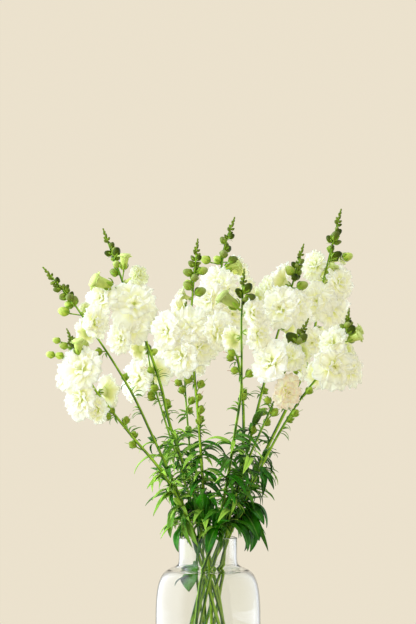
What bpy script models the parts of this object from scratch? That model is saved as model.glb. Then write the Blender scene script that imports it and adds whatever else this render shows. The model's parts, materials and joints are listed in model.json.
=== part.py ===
# White snapdragons in a clear glass bottle vase, with a little water.
# Metres, +Z up. The origin is the centre of the vase's flat underside, and -Y is the front.
import math

import bmesh
import bpy
from mathutils import Matrix, Vector
from mathutils.bvhtree import BVHTree

MM = 0.001
UP = Vector((0, 0, 1))

# Vase: a straight body, a rounded shoulder and a short straight neck
BODY_RADIUS = 60.5 * MM
SHOULDER_RADIUS = 46 * MM
NECK_RADIUS = 33.5 * MM
VASE_HEIGHT = 210 * MM
NECK_HEIGHT = 34.5 * MM
STRAIGHT_TO = 118 * MM
HEEL_RADIUS = 9 * MM
WALL = 3 * MM
FLOOR = 8 * MM
VASE_SIDES = 24

# Water, and the gap between pieces that touch
WATER_LEVEL = 84 * MM
GAP = 0.35 * MM

# Stems: every route runs from a foot on the vase's floor, through the waist where they cross
FOOT_HEIGHT = FLOOR + 1.3 * MM
WAIST_HEIGHT = 150 * MM
ROUTE_STEP = 42 * MM
STEM_TAPER = 0.55

# Flowers, buds, pods and leaves, at the size that one of each has
GOLDEN_ANGLE = 137.5
FLORET_SIDES = 10
FLORET_RADIUS = 23 * MM
TUBE_LENGTH = 19 * MM
FLORET_MIDDLE = 22 * MM
FLORET_LIFTS = (-10, 20)
LONGER_TUBES = (0, 8, 16, 24)
CORE_WALL = 1.7 * MM
BUD_LENGTH = 12 * MM
TIP_LENGTH = 17 * MM
POD_LENGTH = 9 * MM
LEAF_LENGTH = 34 * MM
LEAF_WIDTH = 7 * MM
LARGE_LEAF_WIDTH = 11 * MM
LEAF_KEEL = 1.5 * MM
LEAF_SPACING = 7.6 * MM
KEEP_CLEAR = 0.45 * MM

# How far from its first place a flower, bud or leaf may turn or shrink to miss its neighbours
FLORET_TURNS = (0, 20, -20, 40, -40, 65, -65)
FLORET_TRIES = [(turn, size) for size in (1.0, 0.86, 0.72) for turn in FLORET_TURNS]
SMALL_TURNS = (0, 45, -45, 90, -90)
SMALL_TRIES = [(turn, size) for size in (1.0, 0.8) for turn in SMALL_TURNS]
LEAF_TURNS = (0, 30, -30, 60, -60, 95, -95, 130, -130, 170)
LEAF_TRIES = [(turn, size) for size in (1.0, 0.72) for turn in LEAF_TURNS]

GREEN = (0.13, 0.30, 0.05)
WHITE = (0.93, 0.93, 0.84)
GLASS = (0.93, 0.97, 0.95)
WATER = (0.96, 0.99, 0.98)

# Each stem: thickness at the foot, foot (x, y), waist (x, y), then points up to the tip, in millimetres.
# Its flowers are given one by one: how far across and how high the middle is, the size, and 1 where it opens
# to the front or -1 to the back. Its buds, pods and narrow leaves have a lowest height, a highest height, then
# for buds how many and the size, for pods how many, and for leaves the compass angle of the first.
# Its large leaves are given one by one: height, compass angle, lift, droop, size.
STEMS = {
    "front_left": dict(
        thick=4.0, foot=(42, -22), waist=(1, -18),
        route=[(-19, -17, 215), (-45, -27, 275), (-95, -46, 338), (-130, -62, 385), (-155, -69, 425),
               (-158, -70, 446)],
        flowers=[(-144, 406, 1.05, 1), (-176, 397, 0.7, 1), (-149, 371, 1.0, 1), (-127, 358, 0.65, 1),
                 (-112, 379, 0.8, -1)],
        buds=(422, 436, 4, 0.9), pods=(322, 352, 2),
        leaves=(222, 296, 205), large=[(224, 215, 15, 110, 1.0)],
    ),
    "far_left": dict(
        thick=3.6, foot=(45, -10), waist=(7, -8.6),
        route=[(-14, -7, 210), (-37, -13, 268), (-65, -22, 330), (-92, -32, 386), (-128, -40, 442),
               (-165, -45, 495), (-188, -45, 520)],
        flowers=[(-126, 457, 0.75, 1), (-140, 445, 0.6, -1), (-138, 470, 0.5, -1)],
        buds=(470, 506, 6, 1.05), pods=(388, 424, 2),
        leaves=(226, 326, 250), large=[(232, 160, 25, 70, 1.05)],
    ),
    "left": dict(
        thick=4.4, foot=(30, 2.6), waist=(11, 2),
        route=[(-6, 2, 206), (-17, 4, 264), (-40, 6, 324), (-60, 8, 404), (-88, 10, 475), (-108, 10, 530),
               (-120, 10, 562)],
        flowers=[(-126, 486, 0.9, 1), (-84, 479, 1.1, 1), (-77, 511, 0.55, 1), (-88, 453, 0.9, 1),
                 (-104, 438, 0.75, 1), (-82, 425, 0.6, -1), (-66, 466, 0.85, -1)],
        buds=(505, 548, 6, 1.05), pods=(356, 378, 2),
        leaves=(222, 340, 190), large=[(226, 250, 60, 40, 1.2)],
    ),
    "back_left": dict(
        thick=3.2, foot=(16, 27), waist=(-12, 22),
        route=[(-10, 21, 206), (-20, 28, 250), (-46, 44, 330), (-65, 59, 392), (-72, 62, 436)],
        flowers=[(-84, 392, 0.9, 1), (-95, 379, 0.65, -1), (-62, 400, 0.8, -1)],
        buds=(418, 426, 4, 0.8), pods=(346, 366, 2),
        leaves=(226, 330, 165), large=[(172, 185, -5, 70, 0.95), (230, 130, 20, 110, 1.1)],
    ),
    "middle_left": dict(
        thick=3.8, foot=(6, -16.5), waist=(3, -13.2),
        route=[(-2, -12, 204), (-6, -22, 277), (-12, -37, 358), (-19, -49, 445), (-17, -50, 495),
               (-12, -50, 548)],
        flowers=[(-34, 471, 0.85, -1), (-51, 447, 0.9, 1), (-35, 418, 1.05, 1), (-6, 429, 0.95, 1),
                 (16, 446, 0.95, 1), (-20, 450, 0.9, 1), (-30, 488, 0.5, -1)],
        buds=(488, 534, 6, 1.05), pods=(340, 388, 2),
        leaves=(224, 322, 300), large=[(220, 265, 74, 15, 1.5), (216, 235, 0, 110, 0.9)],
    ),
    "back": dict(
        thick=3.0, foot=(4, 34), waist=(-5, 26.8),
        route=[(-6, 26, 208), (-16, 45, 262), (-24, 80, 340), (-28, 114, 410), (-26, 120, 483)],
        flowers=[(-50, 428, 0.9, 1), (-28, 440, 0.9, -1), (-4, 432, 0.85, 1), (-12, 411, 0.85, 1),
                 (-40, 456, 0.75, -1)],
        buds=(450, 472, 5, 0.85), pods=(352, 380, 2),
        leaves=(228, 340, 60), large=[(232, 80, 20, 110, 1.2)],
    ),
    "middle": dict(
        thick=4.0, foot=(-36, 14.5), waist=(-5, 12),
        route=[(15, 12, 206), (37, 20, 286), (41, 30, 352), (37, 39, 400), (20, 46, 477), (13, 46, 515),
               (20, 46, 545), (30, 46, 576)],
        flowers=[(12, 501, 0.9, 1), (38, 519, 0.75, -1), (-1, 484, 0.9, 1), (29, 466, 0.95, 1),
                 (4, 458, 0.85, 1), (50, 497, 0.7, -1), (26, 442, 0.85, -1)],
        buds=(517, 561, 6, 1.1), pods=(372, 412, 2),
        leaves=(222, 340, 150), large=[(232, 20, 50, 70, 1.1)],
    ),
    "front": dict(
        thick=3.8, foot=(-19, -34), waist=(-10, -27),
        route=[(8, -26, 212), (20, -42, 266), (31, -70, 336), (38, -92, 389), (37, -112, 445),
               (40, -117, 512)],
        flowers=[(55, 468, 0.8, 1), (60, 444, 0.8, 1), (57, 487, 0.5, -1), (27, 438, 0.7, -1)],
        buds=(464, 498, 6, 1.1), pods=(366, 400, 2),
        leaves=(224, 336, 320), large=[(216, 290, 62, 40, 1.2), (222, 255, 10, 110, 1.0)],
    ),
    "right": dict(
        thick=3.8, foot=(-14, 8.6), waist=(14.5, 7),
        route=[(20, 7, 210), (40, 10, 287), (58, 14, 360), (78, 19, 435), (94, 22, 488), (110, 22, 545)],
        flowers=[(82, 505, 0.9, -1), (62, 495, 0.65, 1), (82, 473, 1.0, 1), (107, 474, 0.9, 1),
                 (96, 448, 0.75, -1)],
        buds=(492, 531, 6, 1.0), pods=(374, 404, 2),
        leaves=(222, 344, 20), large=[(228, 60, 45, 70, 1.1)],
    ),
    "far_right": dict(
        thick=4.2, foot=(-43, 21), waist=(-8, 17),
        route=[(21, 17, 209), (56, 30, 286), (88, 44, 350), (116, 58, 410), (128, 66, 470), (138, 70, 520),
               (152, 70, 560), (155, 70, 586)],
        flowers=[(122, 525, 0.7, 1), (162, 532, 0.4, 1), (157, 504, 0.85, 1), (149, 473, 1.05, 1),
                 (126, 482, 0.95, 1), (152, 446, 0.9, -1), (121, 432, 0.75, 1),
                 (137, 511, 0.75, -1)],
        buds=(505, 570, 6, 1.15), pods=(358, 392, 2),
        leaves=(224, 330, 345), large=[(240, 340, 20, 110, 1.35), (226, 20, 15, 110, 1.1)],
    ),
    "front_right": dict(
        thick=3.4, foot=(-28, -28), waist=(-1, -22.6),
        route=[(16, -22, 211), (43, -50, 295), (72, -80, 362), (88, -97, 406), (102, -105, 440),
               (111, -105, 458)],
        flowers=[(66, 414, 1.05, 1), (90, 418, 0.7, 1), (105, 408, 0.65, -1), (90, 379, 0.8, 1),
                 (108, 426, 0.6, -1)],
        buds=(425, 446, 5, 1.0), pods=(338, 364, 2),
        leaves=(226, 316, 335), large=[(228, 300, 25, 110, 1.2)],
    ),
    "right_low": dict(
        thick=3.6, foot=(-30, -4.4), waist=(8, -3.6),
        route=[(24, -2, 210), (62, -8, 293), (94, -14, 351), (124, -20, 393), (154, -25, 431),
               (161, -25, 470)],
        flowers=[(145, 407, 1.1, 1), (124, 396, 0.7, -1), (140, 434, 0.75, 1), (160, 426, 0.65, -1),
                 (167, 402, 0.75, 1), (176, 412, 0.45, -1)],
        buds=(443, 457, 4, 0.95), pods=(342, 366, 2),
        leaves=(226, 306, 355), large=[(236, 322, 12, 110, 1.4), (250, 350, 30, 110, 1.15)],
    ),
}


def clear_scene():
    for obj in list(bpy.data.objects):
        bpy.data.objects.remove(obj)


def new_collection(name):
    made = bpy.data.collections.new(name)
    bpy.context.scene.collection.children.link(made)
    return made


def new_material(name, colour, roughness, transmission=0.0):
    material = bpy.data.materials.new(name)
    material.use_nodes = True
    shader = material.node_tree.nodes["Principled BSDF"]
    shader.inputs["Base Color"].default_value = (*colour, 1)
    shader.inputs["Roughness"].default_value = roughness
    shader.inputs["Metallic"].default_value = 0
    shader.inputs["Transmission Weight"].default_value = transmission
    return material


def new_object(name, data, collection):
    obj = bpy.data.objects.new(name, data)
    collection.objects.link(obj)
    return obj


def mesh_from(name, work):
    """A mesh from a bmesh, with its faces turned outwards and split into triangles."""
    bmesh.ops.recalc_face_normals(work, faces=work.faces)
    bmesh.ops.triangulate(work, faces=work.faces, quad_method="SHORT_EDGE")
    mesh = bpy.data.meshes.new(name)
    work.to_mesh(mesh)
    work.free()
    return mesh


def evaluated_mesh(obj):
    graph = bpy.context.evaluated_depsgraph_get()
    graph.update()
    return bpy.data.meshes.new_from_object(obj.evaluated_get(graph))


# Routes of the stems

def smooth_points(points, per_span=8):
    """Points on the smooth curve through the given ones."""
    ends = [2 * points[0] - points[1]] + points + [2 * points[-1] - points[-2]]
    smooth = []
    for i in range(1, len(ends) - 2):
        before, start, end, after = ends[i - 1:i + 3]
        for k in range(per_span):
            t = k / per_span
            smooth.append(0.5 * (
                2 * start + (end - before) * t + (2 * before - 5 * start + 4 * end - after) * t ** 2
                + (3 * start - before - 3 * end + after) * t ** 3
            ))
    return smooth + [points[-1]]


def thinned(route, step):
    """Fewer points of a route, about a step apart, with both ends kept."""
    kept = [route[0]]
    for point in route[1:-1]:
        if (point - kept[-1]).length >= step and (point - route[-1]).length > step / 2:
            kept.append(point)
    return kept + [route[-1]]


def stem_route(stem):
    """The stem's centre line as points about a step apart, from its foot to its tip."""
    foot = Vector((*stem["foot"], FOOT_HEIGHT / MM)) * MM
    waist = Vector((*stem["waist"], WAIST_HEIGHT / MM)) * MM
    above = [Vector(point) * MM for point in stem["route"]]
    return thinned(smooth_points([foot, waist] + above), ROUTE_STEP)


def at_height(route, height):
    """The point of a route at a height, and the direction that it runs in there."""
    for low, high in zip(route, route[1:]):
        if low.z <= height <= high.z:
            return low.lerp(high, (height - low.z) / (high.z - low.z)), (high - low).normalized()
    return route[-1].copy(), (route[-1] - route[-2]).normalized()


def stem_radius(stem, height):
    """Half the stem's thickness, which shrinks towards its tip."""
    share = height / (stem["route"][-1][2] * MM)
    return stem["thick"] / 2 * MM * (1 - STEM_TAPER * share ** 2)


def tube_mesh(name, points, radii, six_sided=True):
    """A tube along points, with closed ends and six or four sides, made from a bevelled curve."""
    curve = bpy.data.curves.new(name, "CURVE")
    curve.dimensions = "3D"
    curve.bevel_depth = 1
    curve.bevel_resolution = 1 if six_sided else 0
    curve.use_fill_caps = True
    spline = curve.splines.new("POLY")
    spline.points.add(len(points) - 1)
    for place, point, radius in zip(spline.points, points, radii):
        place.co = (*point, 1)
        place.radius = radius
    holder = new_object(name, curve, bpy.context.scene.collection)
    work = bmesh.new()
    work.from_mesh(evaluated_mesh(holder))
    bpy.data.objects.remove(holder)
    bmesh.ops.remove_doubles(work, verts=work.verts, dist=0.01 * MM)
    return mesh_from(name, work)


def stem_mesh(stem, route):
    return tube_mesh("stem", route, [stem_radius(stem, point.z) for point in route])


def hole_mesh(stem, route):
    """The stem made wider by the gap and longer at its foot: the hole that it stands in."""
    below = route[0] - (route[1] - route[0]).normalized() * 3 * MM
    return tube_mesh("hole", [below] + route[1:], [stem_radius(stem, point.z) + GAP for point in route])


def sleeve_mesh(stem, route):
    """The slim ring round the stem that its flowers grow from."""
    roots = [floret_root(stem, route, flower)[0].z for flower in stem["flowers"]]
    low, high = min(roots) - 5 * MM, max(roots) + 4 * MM
    between = [point for point in route if low + 4 * MM < point.z < high - 4 * MM]
    points = [at_height(route, low)[0]] + between + [at_height(route, high)[0]]
    radii = [stem_radius(stem, point.z) + GAP + CORE_WALL for point in points]
    return tube_mesh("sleeve", points, radii, six_sided=False)


# Shapes of one flower, bud, pod and leaf, each with its root at the origin and growing along +Z

def new_sphere(sides, rings):
    """A new sphere, with each vertex's ring, counted from the lower pole, and its corner in that ring."""
    work = bmesh.new()
    bmesh.ops.create_uvsphere(work, u_segments=sides, v_segments=rings, radius=1)
    heights = sorted({round(vert.co.z, 4) for vert in work.verts})
    places = {}
    for vert in work.verts:
        turn = math.atan2(vert.co.y, vert.co.x) / (2 * math.pi)
        places[vert] = (heights.index(round(vert.co.z, 4)), round(turn * sides) % sides)
    return work, places


def floret_mesh(longer):
    """A snapdragon flower: a funnel that opens into five waved outer lobes round five inner petals. The funnel
    is longer than the shortest one by so many millimetres."""
    work, places = new_sphere(FLORET_SIDES, 4)
    # radius at a lobe, radius at a notch, height at a lobe and height at a notch, from the root to the throat
    profile = [
        (0.0, 0.0, -0.12, -0.12),
        (1.0, 0.78, 0.78, 1.16),
        (0.34, 0.30, 1.08, 1.12),
        (0.42, 0.60, 1.62, 1.30),
        (0.0, 0.0, 0.98, 0.98),
    ]
    crest_ring = 3
    for vert, (ring, corner) in places.items():
        notch = corner % 2
        angle = 2 * math.pi * corner / FLORET_SIDES
        reach = profile[ring][notch] * FLORET_RADIUS * (1 + 0.1 * math.sin(angle))
        rise = profile[ring][2 + notch] * TUBE_LENGTH + (longer * MM if ring else 0)
        vert.co = (reach * math.cos(angle), reach * math.sin(angle), rise)
    # each inner petal's pair of corners drawn together, and the funnel split from lobe to lobe
    pairs = [
        edge for edge in work.edges
        if {places[vert][0] for vert in edge.verts} == {crest_ring}
        and len({places[vert][1] // 2 for vert in edge.verts}) == 1
    ]
    bmesh.ops.collapse(work, edges=pairs)
    root = min(work.verts, key=lambda vert: vert.co.z)
    for edge in list(root.link_edges):
        if edge.other_vert(root).co.z > TUBE_LENGTH + longer * MM:
            bmesh.utils.edge_rotate(edge)
    return mesh_from("floret", work)


def spindle_mesh(name, length, profile):
    """A five-sided body between two points, as (reach, rise) shares of its length."""
    work, places = new_sphere(5, len(profile) - 1)
    for vert, (ring, corner) in places.items():
        reach, rise = profile[ring]
        angle = 2 * math.pi * corner / 5
        vert.co = Vector((reach * math.cos(angle), reach * math.sin(angle), rise)) * length
    return mesh_from(name, work)


def bud_mesh():
    """A closed bud, blunt at the tip, with its root sunk in the stem."""
    return spindle_mesh("bud", BUD_LENGTH, [(0, 0), (0.36, 0.46), (0.27, 0.90), (0, 1.08)])


def pod_mesh():
    """A seed pod: a round body on a short stalk, drawn to a point."""
    return spindle_mesh("pod", POD_LENGTH, [(0, 0), (0.13, 0.52), (0.36, 0.92), (0, 1.45)])


def tip_mesh():
    """The end of a spike: buds too small to stand apart, packed round the stem as bumps."""
    bumps = [(0, 0), (0.22, 0.2), (0.11, 0.4), (0.165, 0.6), (0.08, 0.8), (0, 1)]
    return spindle_mesh("tip", TIP_LENGTH, bumps)


def leaf_mesh(width, droop, stations):
    """A keeled blade that leaves the stem along +Z and bends towards -Y by droop in degrees. Its stations are
    how far along they are and what share of the width they have."""
    work, places = new_sphere(3, len(stations) - 1)
    for vert, (ring, corner) in places.items():
        along, wide = stations[ring]
        bend = math.radians(droop) * along
        middle = Vector((0, -math.sin(bend / 2), math.cos(bend / 2))) * along * LEAF_LENGTH
        keel = Vector((0, -math.cos(bend), -math.sin(bend))) * LEAF_KEEL * wide
        edge = Vector((wide * width / 2, 0, 0))
        vert.co = middle + (keel, edge, -edge)[corner]
    return mesh_from("leaf", work)


def shapes():
    """One of each shape, by name."""
    found = {"bud": bud_mesh(), "tip": tip_mesh(), "pod": pod_mesh()}
    for longer in LONGER_TUBES:
        found[f"floret_{longer}"] = floret_mesh(longer)
    for droop in (15, 40, 70, 110):
        found[f"narrow_{droop}"] = leaf_mesh(LEAF_WIDTH, droop, [(0, 0), (0.35, 1), (0.75, 0.75), (1, 0)])
        found[f"large_{droop}"] = leaf_mesh(
            LARGE_LEAF_WIDTH, droop, [(0, 0), (0.2, 0.6), (0.5, 1), (0.8, 0.65), (1, 0)]
        )
    return found


# Where each flower, bud, pod and leaf may go: for each, its shape and the places to try in turn

def grown_matrix(point, direction, growth, size):
    """A place at a point of the stem, growing along a line, with its upper side towards the stem's tip."""
    across = direction.cross(growth).normalized()
    turn = Matrix((across, growth.cross(across), growth)).transposed()
    return Matrix.Translation(point) @ turn.to_4x4() @ Matrix.Scale(size, 4)


def place_matrix(route, height, azimuth, lift, size):
    """A place on the stem at a height, growing at a compass angle and lifted towards the tip, in degrees."""
    point, direction = at_height(route, height)
    side = Vector((math.cos(math.radians(azimuth)), math.sin(math.radians(azimuth)), 0))
    side = (side - direction * side.dot(direction)).normalized()
    growth = (side * math.cos(math.radians(lift)) + direction * math.sin(math.radians(lift))).normalized()
    return grown_matrix(point, direction, growth, size)


def floret_root(stem, route, flower):
    """Where a flower leaves the stem, the stem's direction there, the flower's own line, and how much longer
    its funnel is than the shortest one so that its middle comes to its place."""
    across, height, size, front = flower
    heights = [other[1] for other in stem["flowers"]]
    share = (height - min(heights)) / (max(heights) - min(heights))
    lift = math.radians(FLORET_LIFTS[0] + (FLORET_LIFTS[1] - FLORET_LIFTS[0]) * share)
    for longer in LONGER_TUBES:
        reach = (FLORET_MIDDLE + longer * MM) * size
        point, direction = at_height(route, height * MM - reach * math.sin(lift))
        aside, flat = across * MM - point.x, reach * math.cos(lift)
        if abs(aside) < flat:
            break
    aside = max(-flat, min(flat, aside))
    growth = Vector((aside, -front * math.sqrt(flat ** 2 - aside ** 2), reach * math.sin(lift))).normalized()
    return point, direction, growth, longer


def floret_places(stem, route):
    for flower in stem["flowers"]:
        point, direction, growth, longer = floret_root(stem, route, flower)
        yield f"floret_{longer}", [
            grown_matrix(point, direction, Matrix.Rotation(math.radians(turn), 3, "Z") @ growth, flower[2] * shrink)
            for turn, shrink in FLORET_TRIES
        ]


def bud_places(stem, route):
    low, high, count, size = stem["buds"]
    for i in range(count):
        share = i / count
        height = (low + (high - low) * share) * MM
        grown = size * (1.2 - 0.6 * share)
        yield "bud", [
            place_matrix(route, height, i * GOLDEN_ANGLE + turn, 30 + 25 * share, grown * shrink)
            for turn, shrink in SMALL_TRIES
        ]
    yield "tip", [place_matrix(route, high * MM, 0, 89.9, size)]


def pod_places(stem, route):
    low, high, count = stem["pods"]
    for i in range(count):
        height = (low + (high - low) * i / (count - 1)) * MM
        azimuth = 70 + i * GOLDEN_ANGLE
        yield "pod", [
            place_matrix(route, height, azimuth + turn, 30, shrink) for turn, shrink in SMALL_TRIES
        ]


def large_leaf_places(stem, route):
    for height, azimuth, lift, droop, size in stem["large"]:
        yield f"large_{droop}", [
            place_matrix(route, height * MM, azimuth + turn, lift, size * shrink)
            for turn, shrink in LEAF_TRIES
        ]


def leaf_places(stem, route):
    low, high, first = stem["leaves"]
    for i in range(int((high - low) * MM / LEAF_SPACING)):
        height = low * MM + i * LEAF_SPACING
        azimuth = first + i * GOLDEN_ANGLE
        droop = (110, 70, 110, 40)[i % 4]
        size = (1.1, 0.75, 0.95, 0.85, 0.65)[i % 5]
        yield f"narrow_{droop}", [
            place_matrix(route, height, azimuth + turn, 58 - 8 * (i % 3), size * shrink)
            for turn, shrink in LEAF_TRIES
        ]


# Keeping the pieces of different stems apart

class Kept:
    """A piece in place: whose it is, the box round it and its surface."""

    def __init__(self, owner, mesh, matrix=Matrix()):
        corners = [matrix @ vert.co for vert in mesh.vertices]
        self.owner = owner
        self.middle = sum(corners, Vector()) / len(corners)
        self.low = [min(corner[k] for corner in corners) for k in range(3)]
        self.high = [max(corner[k] for corner in corners) for k in range(3)]
        self.tree = BVHTree.FromPolygons(corners, [list(face.vertices) for face in mesh.polygons])

    def holds(self, point):
        """Whether a point is inside, by how many times a line straight up from it leaves or enters."""
        crossings = 0
        hit = self.tree.ray_cast(point, UP)[0]
        while hit is not None:
            crossings += 1
            hit = self.tree.ray_cast(hit + UP * 0.001 * MM, UP)[0]
        return crossings % 2 == 1

    def meets(self, other):
        if any(self.low[k] > other.high[k] or self.high[k] < other.low[k] for k in range(3)):
            return False
        return bool(self.tree.overlap(other.tree)) or other.holds(self.middle) or self.holds(other.middle)


def fattened(mesh, extra):
    """A copy that is thicker all round."""
    copy = mesh.copy()
    for vert in copy.vertices:
        vert.co = vert.co + vert.normal * extra
    return copy


def first_clear(owner, shape, tries, kept, own):
    """The first place where a shape is clear of the pieces of every owner that isn't in own, or None."""
    for matrix in tries:
        piece = Kept(owner, shape, matrix)
        if not any(piece.meets(other) for other in kept if other.owner not in own):
            kept.append(piece)
            return matrix
    return None


def copy_in_place(mesh, matrix):
    copy = mesh.copy()
    copy.transform(matrix)
    return copy


def arrange(routes, glass, holes, sleeves):
    """Every flower in place, then every bud, pod and leaf, as two lists of meshes for each stem."""
    shape = shapes()
    wide = {name: fattened(mesh, KEEP_CLEAR) for name, mesh in shape.items()}
    kept = [Kept("vase", glass)]
    kept += [Kept(f"{name} tube", mesh) for name, mesh in holes.items()]
    kept += [Kept(f"{name} flowers", fattened(mesh, GAP)) for name, mesh in sleeves.items()]
    placed = {"flowers": {name: [] for name in STEMS}, "green": {name: [] for name in STEMS}}
    rounds = [("flowers", floret_places), ("green", bud_places), ("green", pod_places)]
    rounds += [("green", large_leaf_places), ("green", leaf_places)]
    for colour, places in rounds:
        for name, stem in STEMS.items():
            own = (f"{name} {colour}", f"{name} tube")
            for kind, tries in places(stem, routes[name]):
                matrix = first_clear(f"{name} {colour}", wide[kind], tries, kept, own)
                if matrix is not None:
                    placed[colour][name].append(copy_in_place(shape[kind], matrix))
    return placed["flowers"], placed["green"]


# Solids

def finish(obj, material, sharp_degrees):
    """Applies the modifiers, and gives the mesh its material, smooth where it is round."""
    obj.data = evaluated_mesh(obj)
    obj.modifiers.clear()
    obj.data.materials.clear()
    obj.data.materials.append(material)
    obj.data.shade_smooth()
    obj.data.set_sharp_from_angle(angle=math.radians(sharp_degrees))
    return obj


def add_turn(obj):
    screw = obj.modifiers.new("turn", "SCREW")
    screw.steps = VASE_SIDES
    screw.render_steps = VASE_SIDES
    screw.use_merge_vertices = True
    screw.merge_threshold = 0.01 * MM


def add_boolean(obj, operation, others):
    """Joins every object of a collection to this one, or cuts them from it."""
    modifier = obj.modifiers.new(operation.lower(), "BOOLEAN")
    modifier.operation = operation
    modifier.operand_type = "COLLECTION"
    modifier.collection = others


def helper_collection(name, meshes):
    """A collection, left out of the object, that holds one object for each mesh."""
    held = new_collection(name)
    held.hide_render = True
    for i, mesh in enumerate(meshes):
        helper = new_object(f"{name}_{i}", mesh, held)
        helper.hide_render = True
        helper.display_type = "WIRE"
    return held


def remove_collection(held):
    for obj in list(held.objects):
        bpy.data.objects.remove(obj)
    bpy.data.collections.remove(held)


def outline_mesh(name, profile):
    """An open outline of (radius, height) points in millimetres, ready to turn about the Z axis."""
    mesh = bpy.data.meshes.new(name)
    points = [(radius * MM, 0, height * MM) for radius, height in profile]
    mesh.from_pydata(points, [(i, i + 1) for i in range(len(points) - 1)], [])
    return mesh


def vase_profile():
    """From the floor's centre up the inside, over the rim and down the outside to the underside's centre."""
    outer, inner, shoulder = BODY_RADIUS / MM, (BODY_RADIUS - WALL) / MM, SHOULDER_RADIUS / MM
    neck, bore, top = NECK_RADIUS / MM, (NECK_RADIUS - WALL) / MM, VASE_HEIGHT / MM
    floor, heel, straight = FLOOR / MM, HEEL_RADIUS / MM, STRAIGHT_TO / MM
    ledge = top - NECK_HEIGHT / MM
    return [
        (0, floor), (inner - 7.5, floor), (inner - 2.6, floor + 1.4), (inner, floor + 5.6), (inner, straight),
        (inner - 1.1, straight + 22), (inner - 4.1, ledge - 22.5), (inner - 8, ledge - 12.5),
        (shoulder - 2, ledge - 6), (bore + 3.6, ledge - 2.4), (bore, ledge + 0.9), (bore, top - 1.2),
        (bore + 0.8, top), (neck - 0.8, top), (neck, top - 1.2), (neck, ledge + 4), (neck + 2.4, ledge + 1),
        (shoulder, ledge - 2.6), (outer - 7.6, ledge - 9), (outer - 3.8, ledge - 20),
        (outer - 1, straight + 23), (outer, straight), (outer, heel), (outer - 1.9, 3.2),
        (outer - heel, 0), (0, 0),
    ]


def water_profile():
    """From the water's surface down its side to its underside, a gap inside the glass all round."""
    wide, floor, gap = (BODY_RADIUS - WALL - GAP) / MM, FLOOR / MM, GAP / MM
    return [
        (0, WATER_LEVEL / MM), (wide, WATER_LEVEL / MM), (wide, floor + 5.6 + gap),
        (wide - 2.6, floor + 1.4 + gap), (wide - 7.5, floor + gap), (0, floor + gap),
    ]


def build_vase(collection):
    vase = new_object("vase", outline_mesh("vase", vase_profile()), collection)
    add_turn(vase)
    return finish(vase, new_material("clear_glass", GLASS, 0.03, transmission=1.0), 45)


def build_water(holes, collection):
    """The water, with a plain hole for each stem that stands in it."""
    water = new_object("water", outline_mesh("water", water_profile()), collection)
    add_turn(water)
    cutters = helper_collection("water_holes", [mesh.copy() for mesh in holes])
    add_boolean(water, "DIFFERENCE", cutters)
    finish(water, new_material("water", WATER, 0.02, transmission=1.0), 45)
    remove_collection(cutters)


def build_stem(name, bare, pieces, collection):
    """A stem with its leaves, pods and buds, joined into one solid."""
    stem = new_object(f"stem_{name}", bare, collection)
    growth = helper_collection(f"growth_{name}", pieces)
    add_boolean(stem, "UNION", growth)
    finish(stem, new_material(f"green_{name}", GREEN, 0.6), 60)
    remove_collection(growth)


def build_flowers(name, sleeve, pieces, hole, collection):
    """The open flowers of one stem, joined by the ring that they grow from, with the stem's place cut out."""
    flowers = new_object(f"flowers_{name}", sleeve, collection)
    growth = helper_collection(f"florets_{name}", pieces)
    bore = helper_collection(f"bore_{name}", [hole])
    add_boolean(flowers, "UNION", growth)
    add_boolean(flowers, "DIFFERENCE", bore)
    finish(flowers, new_material(f"petals_{name}", WHITE, 0.7), 30)
    remove_collection(growth)
    remove_collection(bore)


def main():
    clear_scene()
    arrangement = new_collection("snapdragons_in_vase")
    routes = {name: stem_route(stem) for name, stem in STEMS.items()}
    holes = {name: hole_mesh(stem, routes[name]) for name, stem in STEMS.items()}
    sleeves = {name: sleeve_mesh(stem, routes[name]) for name, stem in STEMS.items()}
    vase = build_vase(arrangement)
    build_water(holes.values(), arrangement)
    flowers, green = arrange(routes, vase.data, holes, sleeves)
    for name, stem in STEMS.items():
        build_stem(name, stem_mesh(stem, routes[name]), green[name], arrangement)
        build_flowers(name, sleeves[name], flowers[name], holes[name], arrangement)


main()
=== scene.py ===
# White snapdragons in a clear glass vase: petals, foliage, glass, water and studio light
import json
from math import atan2, cos, degrees, pi, radians, sin, sqrt, tan

import bpy
import numpy as np
from mathutils import Matrix, Vector
from mathutils.bvhtree import BVHTree

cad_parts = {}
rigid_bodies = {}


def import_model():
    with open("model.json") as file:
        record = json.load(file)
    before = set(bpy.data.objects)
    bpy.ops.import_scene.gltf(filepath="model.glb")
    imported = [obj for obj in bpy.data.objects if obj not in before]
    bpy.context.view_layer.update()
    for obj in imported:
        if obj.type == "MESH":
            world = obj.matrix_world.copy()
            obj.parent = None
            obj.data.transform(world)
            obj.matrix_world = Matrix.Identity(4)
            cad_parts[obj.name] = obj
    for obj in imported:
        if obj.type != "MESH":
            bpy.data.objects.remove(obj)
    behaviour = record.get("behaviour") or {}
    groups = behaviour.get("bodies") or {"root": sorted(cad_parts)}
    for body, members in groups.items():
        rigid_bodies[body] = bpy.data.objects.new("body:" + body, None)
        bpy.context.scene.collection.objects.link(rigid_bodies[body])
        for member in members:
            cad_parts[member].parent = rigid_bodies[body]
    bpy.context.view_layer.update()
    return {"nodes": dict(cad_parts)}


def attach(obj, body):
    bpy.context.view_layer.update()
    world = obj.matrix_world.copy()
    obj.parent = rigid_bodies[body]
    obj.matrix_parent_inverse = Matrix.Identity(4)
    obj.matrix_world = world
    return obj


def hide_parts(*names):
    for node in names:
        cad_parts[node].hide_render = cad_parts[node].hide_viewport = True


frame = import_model()
mm = 0.001
goldenAngle = 137.5
print("frame loaded:", len(frame["nodes"]), "solids")

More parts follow.
